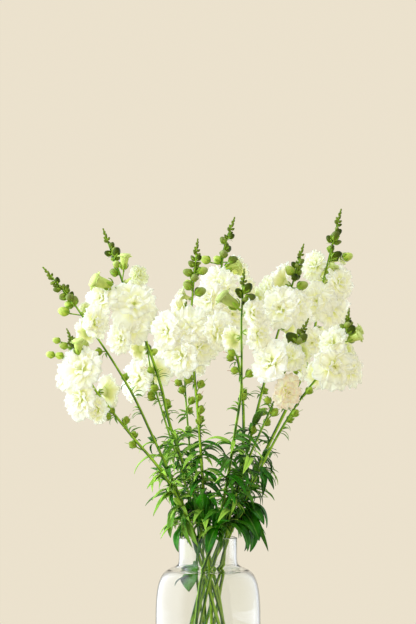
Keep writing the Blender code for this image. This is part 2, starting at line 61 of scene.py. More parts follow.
# Stems: the routes and the growth on them, as in the solids, in millimetres and degrees
# flowers: across, height, size, 1 for the front or -1 for the back; buds: lowest, highest, how many, size
# pods: lowest, highest, how many; leaves: lowest, highest, facing; large: height, facing, lift, droop, size
stems = {
    "front_left": dict(
        thick=4.0, foot=(42, -22), waist=(1, -18),
        route=[(-19, -17, 215), (-45, -27, 275), (-95, -46, 338), (-130, -62, 385), (-155, -69, 425),
               (-158, -70, 446)],
        flowers=[(-144, 406, 1.05, 1), (-176, 397, 0.7, 1), (-149, 371, 1.0, 1), (-127, 358, 0.65, 1),
                 (-112, 379, 0.8, -1)],
        buds=(422, 436, 4, 0.9), pods=(322, 352, 2),
        leaves=(222, 296, 205), large=[(224, 215, 15, 110, 1.0)],
    ),
    "far_left": dict(
        thick=3.6, foot=(45, -10), waist=(7, -8.6),
        route=[(-14, -7, 210), (-37, -13, 268), (-65, -22, 330), (-92, -32, 386), (-128, -40, 442),
               (-165, -45, 495), (-188, -45, 520)],
        flowers=[(-126, 457, 0.75, 1), (-140, 445, 0.6, -1), (-138, 470, 0.5, -1)],
        buds=(470, 506, 6, 1.05), pods=(388, 424, 2),
        leaves=(226, 326, 250), large=[(232, 160, 25, 70, 1.05)],
    ),
    "left": dict(
        thick=4.4, foot=(30, 2.6), waist=(11, 2),
        route=[(-6, 2, 206), (-17, 4, 264), (-40, 6, 324), (-60, 8, 404), (-88, 10, 475), (-108, 10, 530),
               (-120, 10, 562)],
        flowers=[(-126, 486, 0.9, 1), (-84, 479, 1.1, 1), (-77, 511, 0.55, 1), (-88, 453, 0.9, 1),
                 (-104, 438, 0.75, 1), (-82, 425, 0.6, -1), (-66, 466, 0.85, -1)],
        buds=(505, 548, 6, 1.05), pods=(356, 378, 2),
        leaves=(222, 340, 190), large=[(226, 250, 60, 40, 1.2)],
    ),
    "back_left": dict(
        thick=3.2, foot=(16, 27), waist=(-12, 22),
        route=[(-10, 21, 206), (-20, 28, 250), (-46, 44, 330), (-65, 59, 392), (-72, 62, 436)],
        flowers=[(-84, 392, 0.9, 1), (-95, 379, 0.65, -1), (-62, 400, 0.8, -1)],
        buds=(418, 426, 4, 0.8), pods=(346, 366, 2),
        leaves=(226, 330, 165), large=[(172, 185, -5, 70, 0.95), (230, 130, 20, 110, 1.1)],
    ),
    "middle_left": dict(
        thick=3.8, foot=(6, -16.5), waist=(3, -13.2),
        route=[(-2, -12, 204), (-6, -22, 277), (-12, -37, 358), (-19, -49, 445), (-17, -50, 495),
               (-12, -50, 548)],
        flowers=[(-34, 471, 0.85, -1), (-51, 447, 0.9, 1), (-35, 418, 1.05, 1), (-6, 429, 0.95, 1),
                 (16, 446, 0.95, 1), (-20, 450, 0.9, 1), (-30, 488, 0.5, -1)],
        buds=(488, 534, 6, 1.05), pods=(340, 388, 2),
        leaves=(224, 322, 300), large=[(220, 265, 74, 15, 1.5), (216, 235, 0, 110, 0.9)],
    ),
    "back": dict(
        thick=3.0, foot=(4, 34), waist=(-5, 26.8),
        route=[(-6, 26, 208), (-16, 45, 262), (-24, 80, 340), (-28, 114, 410), (-26, 120, 483)],
        flowers=[(-50, 428, 0.9, 1), (-28, 440, 0.9, -1), (-4, 432, 0.85, 1), (-12, 411, 0.85, 1),
                 (-40, 456, 0.75, -1)],
        buds=(450, 472, 5, 0.85), pods=(352, 380, 2),
        leaves=(228, 340, 60), large=[(232, 80, 20, 110, 1.2)],
    ),
    "middle": dict(
        thick=4.0, foot=(-36, 14.5), waist=(-5, 12),
        route=[(15, 12, 206), (37, 20, 286), (41, 30, 352), (37, 39, 400), (20, 46, 477), (13, 46, 515),
               (20, 46, 545), (30, 46, 576)],
        flowers=[(12, 501, 0.9, 1), (38, 519, 0.75, -1), (-1, 484, 0.9, 1), (29, 466, 0.95, 1),
                 (4, 458, 0.85, 1), (50, 497, 0.7, -1), (26, 442, 0.85, -1)],
        buds=(517, 561, 6, 1.1), pods=(372, 412, 2),
        leaves=(222, 340, 150), large=[(232, 20, 50, 70, 1.1)],
    ),
    "front": dict(
        thick=3.8, foot=(-19, -34), waist=(-10, -27),
        route=[(8, -26, 212), (20, -42, 266), (31, -70, 336), (38, -92, 389), (37, -112, 445),
               (40, -117, 512)],
        flowers=[(55, 468, 0.8, 1), (60, 444, 0.8, 1), (57, 487, 0.5, -1), (27, 438, 0.7, -1)],
        buds=(464, 498, 6, 1.1), pods=(366, 400, 2),
        leaves=(224, 336, 320), large=[(216, 290, 62, 40, 1.2), (222, 255, 10, 110, 1.0)],
    ),
    "right": dict(
        thick=3.8, foot=(-14, 8.6), waist=(14.5, 7),
        route=[(20, 7, 210), (40, 10, 287), (58, 14, 360), (78, 19, 435), (94, 22, 488), (110, 22, 545)],
        flowers=[(82, 505, 0.9, -1), (62, 495, 0.65, 1), (82, 473, 1.0, 1), (107, 474, 0.9, 1),
                 (96, 448, 0.75, -1)],
        buds=(492, 531, 6, 1.0), pods=(374, 404, 2),
        leaves=(222, 344, 20), large=[(228, 60, 45, 70, 1.1)],
    ),
    "far_right": dict(
        thick=4.2, foot=(-43, 21), waist=(-8, 17),
        route=[(21, 17, 209), (56, 30, 286), (88, 44, 350), (116, 58, 410), (128, 66, 470), (138, 70, 520),
               (152, 70, 560), (155, 70, 586)],
        flowers=[(122, 525, 0.7, 1), (162, 532, 0.4, 1), (157, 504, 0.85, 1), (149, 473, 1.05, 1),
                 (126, 482, 0.95, 1), (152, 446, 0.9, -1), (121, 432, 0.75, 1),
                 (137, 511, 0.75, -1)],
        buds=(505, 570, 6, 1.15), pods=(358, 392, 2),
        leaves=(224, 330, 345), large=[(240, 340, 20, 110, 1.35), (226, 20, 15, 110, 1.1)],
    ),
    "front_right": dict(
        thick=3.4, foot=(-28, -28), waist=(-1, -22.6),
        route=[(16, -22, 211), (43, -50, 295), (72, -80, 362), (88, -97, 406), (102, -105, 440),
               (111, -105, 458)],
        flowers=[(66, 414, 1.05, 1), (90, 418, 0.7, 1), (105, 408, 0.65, -1), (90, 379, 0.8, 1),
                 (108, 426, 0.6, -1)],
        buds=(425, 446, 5, 1.0), pods=(338, 364, 2),
        leaves=(226, 316, 335), large=[(228, 300, 25, 110, 1.2)],
    ),
    "right_low": dict(
        thick=3.6, foot=(-30, -4.4), waist=(8, -3.6),
        route=[(24, -2, 210), (62, -8, 293), (94, -14, 351), (124, -20, 393), (154, -25, 431),
               (161, -25, 470)],
        flowers=[(145, 407, 1.1, 1), (124, 396, 0.7, -1), (140, 434, 0.75, 1), (160, 426, 0.65, -1),
                 (167, 402, 0.75, 1), (176, 412, 0.45, -1)],
        buds=(443, 457, 4, 0.95), pods=(342, 366, 2),
        leaves=(226, 306, 355), large=[(236, 322, 12, 110, 1.4), (250, 350, 30, 110, 1.15)],
    ),
}
stemSettings = dict(footHeight=9.3, waistHeight=150, step=42, taper=0.55, sides=10, spacing=4 * mm,
                    full=1.12, ridgesAndLitSides=2, seed=70)


def smoothPoints(points, perSpan=8):
    ends = [2 * points[0] - points[1]] + points + [2 * points[-1] - points[-2]]
    smooth = []
    for i in range(1, len(ends) - 2):
        before, start, end, after = ends[i - 1:i + 3]
        for k in range(perSpan):
            t = k / perSpan
            smooth.append(0.5 * (
                2 * start + (end - before) * t + (2 * before - 5 * start + 4 * end - after) * t ** 2
                + (3 * start - before - 3 * end + after) * t ** 3
            ))
    return smooth + [points[-1]]


def stemRoute(stem):
    ends = [(*stem[end], stemSettings[end + "Height"]) for end in ("foot", "waist")]
    smooth = smoothPoints([Vector(point) * mm for point in ends + stem["route"]])
    step = stemSettings["step"] * mm
    kept = [smooth[0]]
    for point in smooth[1:-1]:
        if (point - kept[-1]).length >= step and (point - smooth[-1]).length > step / 2:
            kept.append(point)
    return kept + [smooth[-1]]


def atHeight(route, height):
    for low, high in zip(route, route[1:]):
        if low.z <= height <= high.z:
            return low.lerp(high, (height - low.z) / (high.z - low.z)), (high - low).normalized()
    return route[-1].copy(), (route[-1] - route[-2]).normalized()


def stemRadius(stem, height):
    share = height / (stem["route"][-1][2] * mm)
    return stem["thick"] / 2 * mm * (1 - stemSettings["taper"] * share ** 2)


def grownPlace(point, direction, growth, size):
    # +Z grows away from the stem and +Y points up it
    across = direction.cross(growth).normalized()
    turn = Matrix((across, growth.cross(across), growth)).transposed()
    return Matrix.Translation(point) @ turn.to_4x4() @ Matrix.Scale(size, 4)


def sideways(direction, azimuth, rise=0.0):
    # square to the direction, towards the azimuth
    side = Vector((cos(radians(azimuth)), sin(radians(azimuth)), rise))
    return (side - direction * side.dot(direction)).normalized()


def placeOn(route, height, azimuth, lift, size):
    point, direction = atHeight(route, height)
    growth = sideways(direction, azimuth) * cos(radians(lift)) + direction * sin(radians(lift))
    return grownPlace(point, direction, growth.normalized(), size)


# Finding each flower, bud, pod and leaf of the solids again, by marks on its shape
# turns and shrinks: the places that it may have taken; near and fewest: how many marks lie how near
tries = {
    "floret": dict(turns=(0, 20, -20, 40, -40, 65, -65), shrinks=(1.0, 0.86, 0.72)),
    "small": dict(turns=(0, 45, -45, 90, -90), shrinks=(1.0, 0.8)),
    "leaf": dict(turns=(0, 30, -30, 60, -60, 95, -95, 130, -130, 170), shrinks=(1.0, 0.72)),
}
findSettings = dict(near=0.12 * mm, fewest=3)
# corners: reach and height of a petal's tip and of the gap after it
floretSettings = dict(radius=23 * mm, tube=19 * mm, middle=22 * mm, lifts=(-10, 20), longer=(0, 8, 16, 24),
                      corners=((1.0, 0.78), (0.78, 1.16)), lower=0.1)
budSettings = dict(length=12 * mm, lift=30, liftUp=25, size=1.2, sizeUp=-0.6)
podSettings = dict(length=9 * mm, lift=30, first=70)
leafSettings = dict(length=34 * mm, width=7 * mm, largeWidth=11 * mm, spacing=7.6 * mm,
                    droops=(110, 70, 110, 40), sizes=(1.1, 0.75, 0.95, 0.85, 0.65), lifts=(58, 50, 42))


def ringMarks(length, *rings):
    # five points on each ring of (reach, height) shares of the length
    angles = [2 * pi * k / 5 for k in range(5)]
    return [
        Vector((reach * length * cos(angle), reach * length * sin(angle), rise * length))
        for reach, rise in rings for angle in angles
    ]


def floretMarks(longer):
    marks = []
    for corner in range(10):
        angle = 2 * pi * corner / 10
        reach, rise = floretSettings["corners"][corner % 2]
        reach *= floretSettings["radius"] * (1 + floretSettings["lower"] * sin(angle))
        rise = rise * floretSettings["tube"] + longer * mm
        marks.append(Vector((reach * cos(angle), reach * sin(angle), rise)))
    return marks


def leafMarks(droop, width, *stations):
    marks = []
    for along, wide in stations:
        half = radians(droop) * along / 2
        middle = Vector((0, -sin(half), cos(half))) * along * leafSettings["length"]
        marks += [middle + Vector((side * wide * width / 2, 0, 0)) for side in (-1, 1)]
    return marks


def marksOf(kind):
    if kind == "bud":
        return ringMarks(budSettings["length"], (0.36, 0.46), (0.27, 0.9))
    if kind == "pod":
        return ringMarks(podSettings["length"], (0.36, 0.92)) + [Vector((0, 0, 1.45 * podSettings["length"]))]
    shape, number = kind.split("_")
    if shape == "floret":
        return floretMarks(int(number))
    if shape == "large":
        return leafMarks(int(number), leafSettings["largeWidth"], (0.5, 1), (0.8, 0.65), (1, 0))
    return leafMarks(int(number), leafSettings["width"], (0.35, 1), (0.75, 0.75), (1, 0))


def floretRoot(stem, route, flower):
    # where a flower leaves the stem, its own line, and how much longer than the shortest one its tube is
    across, height, size, front = flower
    heights = [other[1] for other in stem["flowers"]]
    share = (height - min(heights)) / (max(heights) - min(heights))
    low, high = floretSettings["lifts"]
    lift = radians(low + (high - low) * share)
    for longer in floretSettings["longer"]:
        reach = (floretSettings["middle"] + longer * mm) * size
        point, direction = atHeight(route, height * mm - reach * sin(lift))
        aside, flat = across * mm - point.x, reach * cos(lift)
        if abs(aside) < flat:
            break
    aside = max(-flat, min(flat, aside))
    growth = Vector((aside, -front * sqrt(flat ** 2 - aside ** 2), reach * sin(lift))).normalized()
    return share, point, direction, growth, longer


def floretTries(stem, route):
    # every flower of a stem, with the places that it may have taken
    for flower in stem["flowers"]:
        share, point, direction, growth, longer = floretRoot(stem, route, flower)
        yield f"floret_{longer}", share, [
            grownPlace(point, direction, Matrix.Rotation(radians(turn), 3, "Z") @ growth, flower[2] * shrink)
            for shrink in tries["floret"]["shrinks"] for turn in tries["floret"]["turns"]
        ]


def growthOf(stem):
    # what else the solids may hold: its kind, place along its group, height, azimuth, lift, size
    low, high, count, size = stem["buds"]
    for i in range(count):
        share = i / count
        lift = budSettings["lift"] + budSettings["liftUp"] * share
        smaller = size * (budSettings["size"] + budSettings["sizeUp"] * share)
        yield "bud", share, low + (high - low) * share, i * goldenAngle, lift, smaller
    low, high, count = stem["pods"]
    for i in range(count):
        share = i / (count - 1)
        azimuth = podSettings["first"] + i * goldenAngle
        yield "pod", share, low + (high - low) * share, azimuth, podSettings["lift"], 1
    for height, azimuth, lift, droop, size in stem["large"]:
        yield f"large_{droop}", 0.5, height, azimuth, lift, size
    low, high, facing = stem["leaves"]
    count = int((high - low) * mm / leafSettings["spacing"])
    turns = [leafSettings[key] for key in ("droops", "sizes", "lifts")]
    for i in range(count):
        droop, size, lift = (values[i % len(values)] for values in turns)
        height = low + i * leafSettings["spacing"] / mm
        yield f"narrow_{droop}", i / count, height, facing + i * goldenAngle, lift, size


def smallTries(kind, route, height, azimuth, lift, size):
    group = tries["small" if kind in ("bud", "pod") else "leaf"]
    return [
        placeOn(route, height * mm, azimuth + turn, lift, size * shrink)
        for shrink in group["shrinks"] for turn in group["turns"]
    ]


def foundPlace(tree, kind, places):
    # the place whose marks lie on the solid most often, or none
    marks = marksOf(kind)
    best, most = None, findSettings["fewest"] - 1
    for place in places:
        near = sum(tree.find_nearest(place @ mark)[3] < findSettings["near"] for mark in marks)
        if near > most:
            best, most = place, near
    return best


def solidTree(name):
    mesh = frame["nodes"][name].data
    faces = [list(face.vertices) for face in mesh.polygons]
    return BVHTree.FromPolygons([vert.co for vert in mesh.vertices], faces)


routes = {name: stemRoute(stem) for name, stem in stems.items()}
growth = {}
for name, stem in stems.items():
    whites, greens = solidTree(f"flowers_{name}"), solidTree(f"stem_{name}")
    found = [
        (kind, share, foundPlace(whites, kind, places))
        for kind, share, places in floretTries(stem, routes[name])
    ]
    for kind, share, *placing in growthOf(stem):
        found.append((kind, share, foundPlace(greens, kind, smallTries(kind, routes[name], *placing))))
    growth[name] = [piece for piece in found if piece[2] is not None]
print("pieces found on the solids:", {name: len(found) for name, found in growth.items()})

# Meshes from grids and turned outlines


def mergedMesh(name, parts):
    # parts: (points, faces, {layer: value for each point})
    layers = sorted({layer for part in parts for layer in part[2]})
    points, faces, values = [], [], {layer: [] for layer in layers}
    start = 0
    for partPoints, partFaces, partValues in parts:
        points.append(partPoints)
        faces += [[start + corner for corner in face] for face in partFaces]
        for layer in layers:
            given = partValues.get(layer, 0.0)
            values[layer].append(np.broadcast_to(np.asarray(given, float), (len(partPoints),)))
        start += len(partPoints)
    mesh = bpy.data.meshes.new(name)
    mesh.from_pydata(np.concatenate(points).tolist(), [], faces)
    for layer in layers:
        mesh.attributes.new(layer, "FLOAT", "POINT").data.foreach_set("value", np.concatenate(values[layer]))
    mesh.shade_smooth()
    return mesh


def sheetSteps(rows, columns):
    # from 0 to 1 along a sheet and from -1 to 1 across it
    return np.linspace(0, 1, rows)[:, None], np.linspace(-1, 1, columns)[None, :]


def roundAxis(reach, angle, height):
    return np.stack(np.broadcast_arrays(reach * np.cos(angle), reach * np.sin(angle), height), axis=-1)


def thickSheet(grid, thickness, layers):
    # a closed thin shell round a grid of points; its upper side is the one that the columns turn left into
    rows, columns = grid.shape[:2]
    normal = np.cross(np.gradient(grid, axis=1), np.gradient(grid, axis=0))
    normal /= np.linalg.norm(normal, axis=2, keepdims=True) + 1e-12
    count = rows * columns
    index = np.arange(count).reshape(rows, columns)
    top = np.stack([index[:-1, :-1], index[:-1, 1:], index[1:, 1:], index[1:, :-1]], axis=-1).reshape(-1, 4)
    loop = [*index[0, :-1], *index[:-1, -1], *index[-1, :0:-1], *index[:0:-1, 0]]
    sides = [[after, one, one + count, after + count] for one, after in zip(loop, loop[1:] + loop[:1])]
    faces = top.tolist() + (top[:, ::-1] + count).tolist() + sides
    half = normal * thickness / 2
    points = np.concatenate([(grid + half).reshape(-1, 3), (grid - half).reshape(-1, 3)])
    spread = {layer: np.broadcast_to(value, (rows, columns)) for layer, value in layers.items()}
    return points, faces, {layer: np.tile(value.reshape(-1), 2) for layer, value in spread.items()}


def turnedShell(outline, sides, layers, lobes=0.0, bend=0.0):
    # outline: (radius, height) from the lower pole to the upper one; lobes wave the radius five times round
    radius, height = np.array(outline).T
    angle = 2 * pi * np.arange(sides) / sides
    reach = radius[1:-1, None] * (1 + lobes * np.cos(5 * angle))
    ring = roundAxis(reach, angle, height[1:-1, None])
    points = np.concatenate([[[0, 0, height[0]]], ring.reshape(-1, 3), [[0, 0, height[-1]]]])
    points[:, 1] -= bend * (points[:, 2] / max(height[-1], 1e-6)) ** 2
    last = len(points) - 1
    ahead = [(k + 1) % sides for k in range(sides)]
    faces = [[0, 1 + ahead[k], 1 + k] for k in range(sides)]
    for low in range(1, last - sides, sides):
        high = low + sides
        faces += [[low + k, low + ahead[k], high + ahead[k], high + k] for k in range(sides)]
    faces += [[last - sides + k, last - sides + ahead[k], last] for k in range(sides)]
    values = {}
    for layer, given in layers.items():
        steps = np.broadcast_to(np.asarray(given, float), (len(radius),))
        values[layer] = np.concatenate([steps[:1], np.repeat(steps[1:-1], sides), steps[-1:]])
    return points, faces, values


def moved(part, matrix):
    points, faces, layers = part
    turn = np.array(matrix)
    return points @ turn[:3, :3].T + turn[:3, 3], faces, layers


# Petals: whorls of ruffled sheets on a short tube, in millimetres and degrees
# base, knee and tip are (radius, height) along a petal's middle
whorls = {
    "outer": dict(count=5, first=0, base=(5.5, 11.5), knee=(13, 24), tip=(24.5, 17), width=41,
                  ruffle=2.1, waves=2.6, frill=1.3, cup=2.2, rows=10, columns=25, jitter=6),
    "inner": dict(count=3, first=18, base=(3.6, 12), knee=(6.5, 25), tip=(17.5, 24), width=35,
                  ruffle=2.5, waves=2.4, frill=1.2, cup=1.2, rows=8, columns=19, jitter=16),
    "heart": dict(count=3, first=50, base=(1.2, 14), knee=(2.0, 23), tip=(8.0, 26.5), width=21,
                  ruffle=2.0, waves=1.8, frill=0.7, cup=0.6, rows=6, columns=10, jitter=30),
}
petalSettings = dict(thickness=0.34, length=(0.9, 1.08), corners=0.15, notch=0.05, scallops=0.05,
                     closeIn=0.45, closeUp=7, upper=0.08, tips=(-1.8, 1.8), root=0.25, wrap=4.5)
bloomSettings = dict(seeds=(3, 8, 14, 21, 34, 47), cuppedSeed=55, cuppedClosing=0.5, withAnthers=(0, 2))
antherSettings = dict(places=((70, 21.5), (135, 22.5)), out=1.6, lean=35)


def arc(t, start, knee, end):
    # a curve that bends at the knee, and its slope
    curve = (1 - t) ** 2 * start + 2 * t * (1 - t) * knee + t ** 2 * end
    return curve, 2 * (1 - t) * (knee - start) + 2 * t * (end - knee)


def petal(rng, shape, azimuth, closing):
    v, u = sheetSteps(shape["rows"], shape["columns"])
    phase = rng.uniform(0, 2 * pi, 6)
    length = rng.uniform(*petalSettings["length"])
    notch = petalSettings["notch"] * np.exp(-((u - 0.1 * np.sin(phase[5])) / 0.25) ** 2) * v ** 3
    reach = length * v * (1 - petalSettings["corners"] * np.abs(u) ** 4 - notch)
    reach = reach * (1 + petalSettings["scallops"] * v ** 3 * np.sin(11 * u + phase[2] + np.sin(7 * u)))
    tipR = shape["tip"][0] * (1 - petalSettings["closeIn"] * closing)
    tipR *= 1 + petalSettings["upper"] * sin(radians(azimuth))
    tipZ = shape["tip"][1] + petalSettings["closeUp"] * closing + rng.uniform(*petalSettings["tips"])
    radius, slopeR = arc(reach, shape["base"][0], shape["knee"][0], tipR)
    height, slopeZ = arc(reach, shape["base"][1], shape["knee"][1], tipZ)
    slope = np.sqrt(slopeR ** 2 + slopeZ ** 2)
    wave = np.sin(pi * shape["waves"] * u + phase[0] + 0.9 * np.sin(3 * u + phase[1]))
    rim = np.clip((v - 0.45) / 0.55, 0, 1) ** 1.5
    frill = np.sin(2.6 * pi * shape["waves"] * u + phase[3] + 1.5 * np.sin(2 * u + phase[4]))
    lift = shape["ruffle"] * v ** 1.4 * wave + shape["frill"] * rim * frill + shape["cup"] * u ** 2 * v
    radius = radius - lift * slopeZ / slope
    height = height + lift * slopeR / slope
    root = petalSettings["root"]
    half = shape["width"] / 2 * (root + (1 - root) * np.sin(pi / 2 * np.minimum(1, 1.3 * v)) ** 1.2)
    side = half * (u + 0.06 * np.sin(4 * u + phase[5]) * v)
    angle = radians(azimuth) + side / (np.abs(radius) + petalSettings["wrap"])
    grid = roundAxis(radius, angle, height) * mm
    return thickSheet(grid, petalSettings["thickness"] * mm, {"reach": v, "across": u})


def anther(angle, height):
    grain = turnedShell([(0, -1.4), (0.6, -0.7), (0.7, 0.5), (0, 1.3)], 6, {"reach": -1.0})
    spread = Matrix.Rotation(radians(angle), 4, "Z") @ Matrix.Translation((antherSettings["out"], 0, height))
    lean = Matrix.Rotation(radians(antherSettings["lean"]), 4, "Y")
    return moved(grain, Matrix.Scale(mm, 4) @ spread @ lean)


def tubeMesh(name):
    # the flower's lower end, one unit long, from its calyx to its petals
    outline = [(0, -0.02), (2.6, 0.05), (3.7, 0.3), (4.3, 0.6), (5.5, 1.05), (5.0, 1.1), (3.4, 0.9), (0, 0.8)]
    points, faces, layers = turnedShell(outline, 10, {"reach": np.linspace(0.55, 0, 8)}, lobes=0.07)
    return mergedMesh(name, [(points * np.array([mm, mm, 1]), faces, layers)])


def bloomMesh(name, seed, closing, anthers):
    rng = np.random.default_rng(seed)
    parts = []
    for shape in whorls.values():
        for k in range(shape["count"]):
            azimuth = shape["first"] + 360 / shape["count"] * k + rng.uniform(-1, 1) * shape["jitter"]
            parts.append(petal(rng, shape, azimuth, closing))
    if anthers:
        parts += [anther(angle, height) for angle, height in antherSettings["places"]]
    return mergedMesh(name, parts)


# Leaves: keeled blades with a waved edge and a drawn-out tip; peak: how far along they are widest
bladeSettings = dict(thickness=0.45 * mm, fold=0.16, wave=0.5 * mm, sway=1.2 * mm,
                     droops=(15, 40, 70, 110), tuftDroops=(65, 100, 135))
bladeKinds = {
    "narrow": dict(width=1.15 * leafSettings["width"], rows=12, columns=7, peak=0.85),
    "large": dict(width=1.2 * leafSettings["largeWidth"], rows=16, columns=9, peak=1.25),
    "tuft": dict(width=1.1 * leafSettings["width"], rows=8, columns=5, peak=0.85),
}


def bladeMesh(name, droop, seed):
    shape = bladeKinds[name]
    v, u = sheetSteps(shape["rows"], shape["columns"])
    phase = np.random.default_rng(seed).uniform(0, 2 * pi, 3)
    full = np.sin(pi * v ** shape["peak"]) ** 0.85 * (1 - 0.25 * v) * 1.1
    wide = shape["width"] / 2 * (full + 0.10 * (1 - v) + 0.03)
    bend = radians(droop) * v
    sway = bladeSettings["sway"] * np.sin(2.4 * v + phase[0]) * v
    fold = bladeSettings["fold"] * np.abs(u) * wide * 2
    lift = fold + bladeSettings["wave"] * np.sin(9 * v + phase[1]) * u ** 2 * np.sin(pi * v)
    across = u * wide * (1 - 0.06 * np.abs(u)) + sway
    along = v * leafSettings["length"]
    up = -np.sin(bend / 2) * along + np.cos(bend) * lift
    out = np.cos(bend / 2) * along + np.sin(bend) * lift
    grid = np.stack([across, up, out], axis=-1)[:, ::-1]
    return mergedMesh(name, [thickSheet(grid, bladeSettings["thickness"], {"along": v, "across": -u})])


# Buds, pods, sepals and the small growth between them, in millimetres
# outlines: (radius, height) from the lower end up; along: that layer at both ends
sepalSettings = dict(count=5, width=3.0, thickness=0.4)
lipSettings = dict(count=5, base=14, width=3.0, thickness=0.4, forward=1.3)
grainSettings = dict(count=10, size=2.7, smaller=1.1, length=15.0, spread=0.9, lean=62)


def sepals(base, length, spread, seed):
    # base: (radius, height) where they start; spread: how far they lean out at the tip
    rng = np.random.default_rng(seed)
    v, u = sheetSteps(5, 4)
    found = []
    for k in range(sepalSettings["count"]):
        half = sepalSettings["width"] / 2 * (np.sin(pi * v ** 0.7 * 0.94 + 0.18) ** 0.8 + 0.05)
        radius = base[0] + spread * np.sin(pi / 2 * v) + 0.7 * np.sin(pi * v) - 0.25 * u ** 2
        angle = 2 * pi * k / sepalSettings["count"] + u * half / (radius + 1.2) + rng.uniform(-0.15, 0.15)
        height = base[1] + length * v * rng.uniform(0.9, 1.1)
        grid = roundAxis(radius, angle, height) * mm
        found.append(thickSheet(grid, sepalSettings["thickness"] * mm, {"along": v, "sepal": 1.0}))
    return found


def lips(seed):
    rng = np.random.default_rng(seed)
    v, u = sheetSteps(5, 7)
    found = []
    for k in range(lipSettings["count"]):
        radius = 4.0 + 2.6 * np.sin(pi / 2 * v) - 0.6 * np.cos(3 * u) * v
        height = lipSettings["base"] + 2.6 * v - 1.4 * v ** 2 - 0.7 * u ** 2 * v + rng.uniform(-0.4, 0.4)
        angle = 2 * pi * k / lipSettings["count"] + u * lipSettings["width"] * (0.7 + 0.3 * v) / radius
        grid = roundAxis(radius, angle, height)
        grid[..., 1] -= lipSettings["forward"]
        layers = {"along": 1.4 + 0.3 * v, "sepal": 0.0}
        found.append(thickSheet(grid * mm, lipSettings["thickness"] * mm, layers))
    return found


def bodyShell(outline, sides, along, lobes, bend=0.0, sepal=0.0):
    layers = {"along": np.linspace(*along, len(outline)), "sepal": sepal}
    return turnedShell(outline, sides, layers, lobes, bend)


def stalkShell(*outline):
    return turnedShell(outline, 6, {"sepal": 1.0})


def smallMesh(name, shells, sheets):
    # shells are still in millimetres
    return mergedMesh(name, [moved(shell, Matrix.Scale(mm, 4)) for shell in shells] + sheets)


def budMesh(name, seed):
    outline = [(0, 2.2), (1.6, 2.6), (3.4, 3.8), (4.25, 5.8), (4.1, 8.4), (3.2, 10.8), (1.7, 12.5), (0, 13.0)]
    stalk = stalkShell((0, -0.4), (0.75, 0), (0.75, 2), (1.3, 3), (0, 3.4))
    body = bodyShell(outline, 10, (0, 1), 0.07, 0.9)
    return smallMesh(name, [body, stalk], sepals((1.5, 2.2), 5.4, 3.0, seed))


def openingMesh(name, seed):
    # a young tube whose lips are just parting
    outline = [(0, 2.2), (2.2, 2.6), (3.2, 5), (3.5, 9), (4.0, 13), (5.2, 15.6), (4.6, 17), (2.6, 17.4),
               (0, 16.6)]
    stalk = stalkShell((0, -0.4), (0.8, 0), (0.8, 2), (1.4, 3), (0, 3.4))
    body = bodyShell(outline, 12, (0.2, 1.5), 0.06, 1.6)
    return smallMesh(name, [body, stalk], lips(seed) + sepals((1.8, 2.2), 5.6, 2.4, seed))


def podMesh(name, seed, dry):
    outline = [(0, 4.4), (1.7, 5.0), (3.0, 6.6), (3.25, 8.4), (2.6, 10.6), (1.2, 12), (0, 12.5)]
    stalk = stalkShell((0, -0.4), (0.7, 0), (0.6, 3.6), (1.2, 4.8), (0, 5.2))
    style = [(0, 11.6), (0.3, 12), (0.2, 13.5), (0.22, 15.2), (0, 15.6)]
    style = turnedShell(style, 5, {"sepal": 1.0, "dry": dry}, bend=3)
    body = bodyShell(outline, 10, (0.1, 0.5), 0.05, sepal=0.2)
    return smallMesh(name, [body, stalk, style], sepals((1.2, 4.2), 6.0, 2.6, seed))


def tipMesh(name, seed):
    # the youngest buds, packed in a spiral on the last of the stalk
    rng = np.random.default_rng(seed)
    grains = []
    for i in range(grainSettings["count"]):
        share = i / (grainSettings["count"] - 1)
        size = (grainSettings["size"] - grainSettings["smaller"] * share) * rng.uniform(0.8, 1.15)
        outline = [(0, -0.2), (0.55, 0.25), (0.66, 0.9), (0.34, 1.6), (0, 1.8)]
        grain = bodyShell([(r * size, z * size) for r, z in outline], 7, (0, 0.9), 0.0)
        spread = (grainSettings["spread"] * (1 - share), 0, grainSettings["length"] * share)
        turn = Matrix.Rotation(radians(goldenAngle * i), 4, "Z") @ Matrix.Translation(spread)
        lean = Matrix.Rotation(radians(grainSettings["lean"] * (1 - share)), 4, "Y")
        grains.append(moved(grain, Matrix.Scale(mm, 4) @ turn @ lean))
    stalk = stalkShell((0, -1), (0.8, -0.5), (0.6, 6), (0.4, 14), (0, 15.4))
    return mergedMesh(name, grains + [moved(stalk, Matrix.Scale(mm, 4))])


def calyxMesh(name, seed):
    stalk = stalkShell((0, -0.3), (0.8, 0), (0.75, 2), (2.2, 3), (0, 3.6))
    return smallMesh(name, [stalk], sepals((1.7, 2.3), 6.2, 2.6, seed))


# Node trees and materials


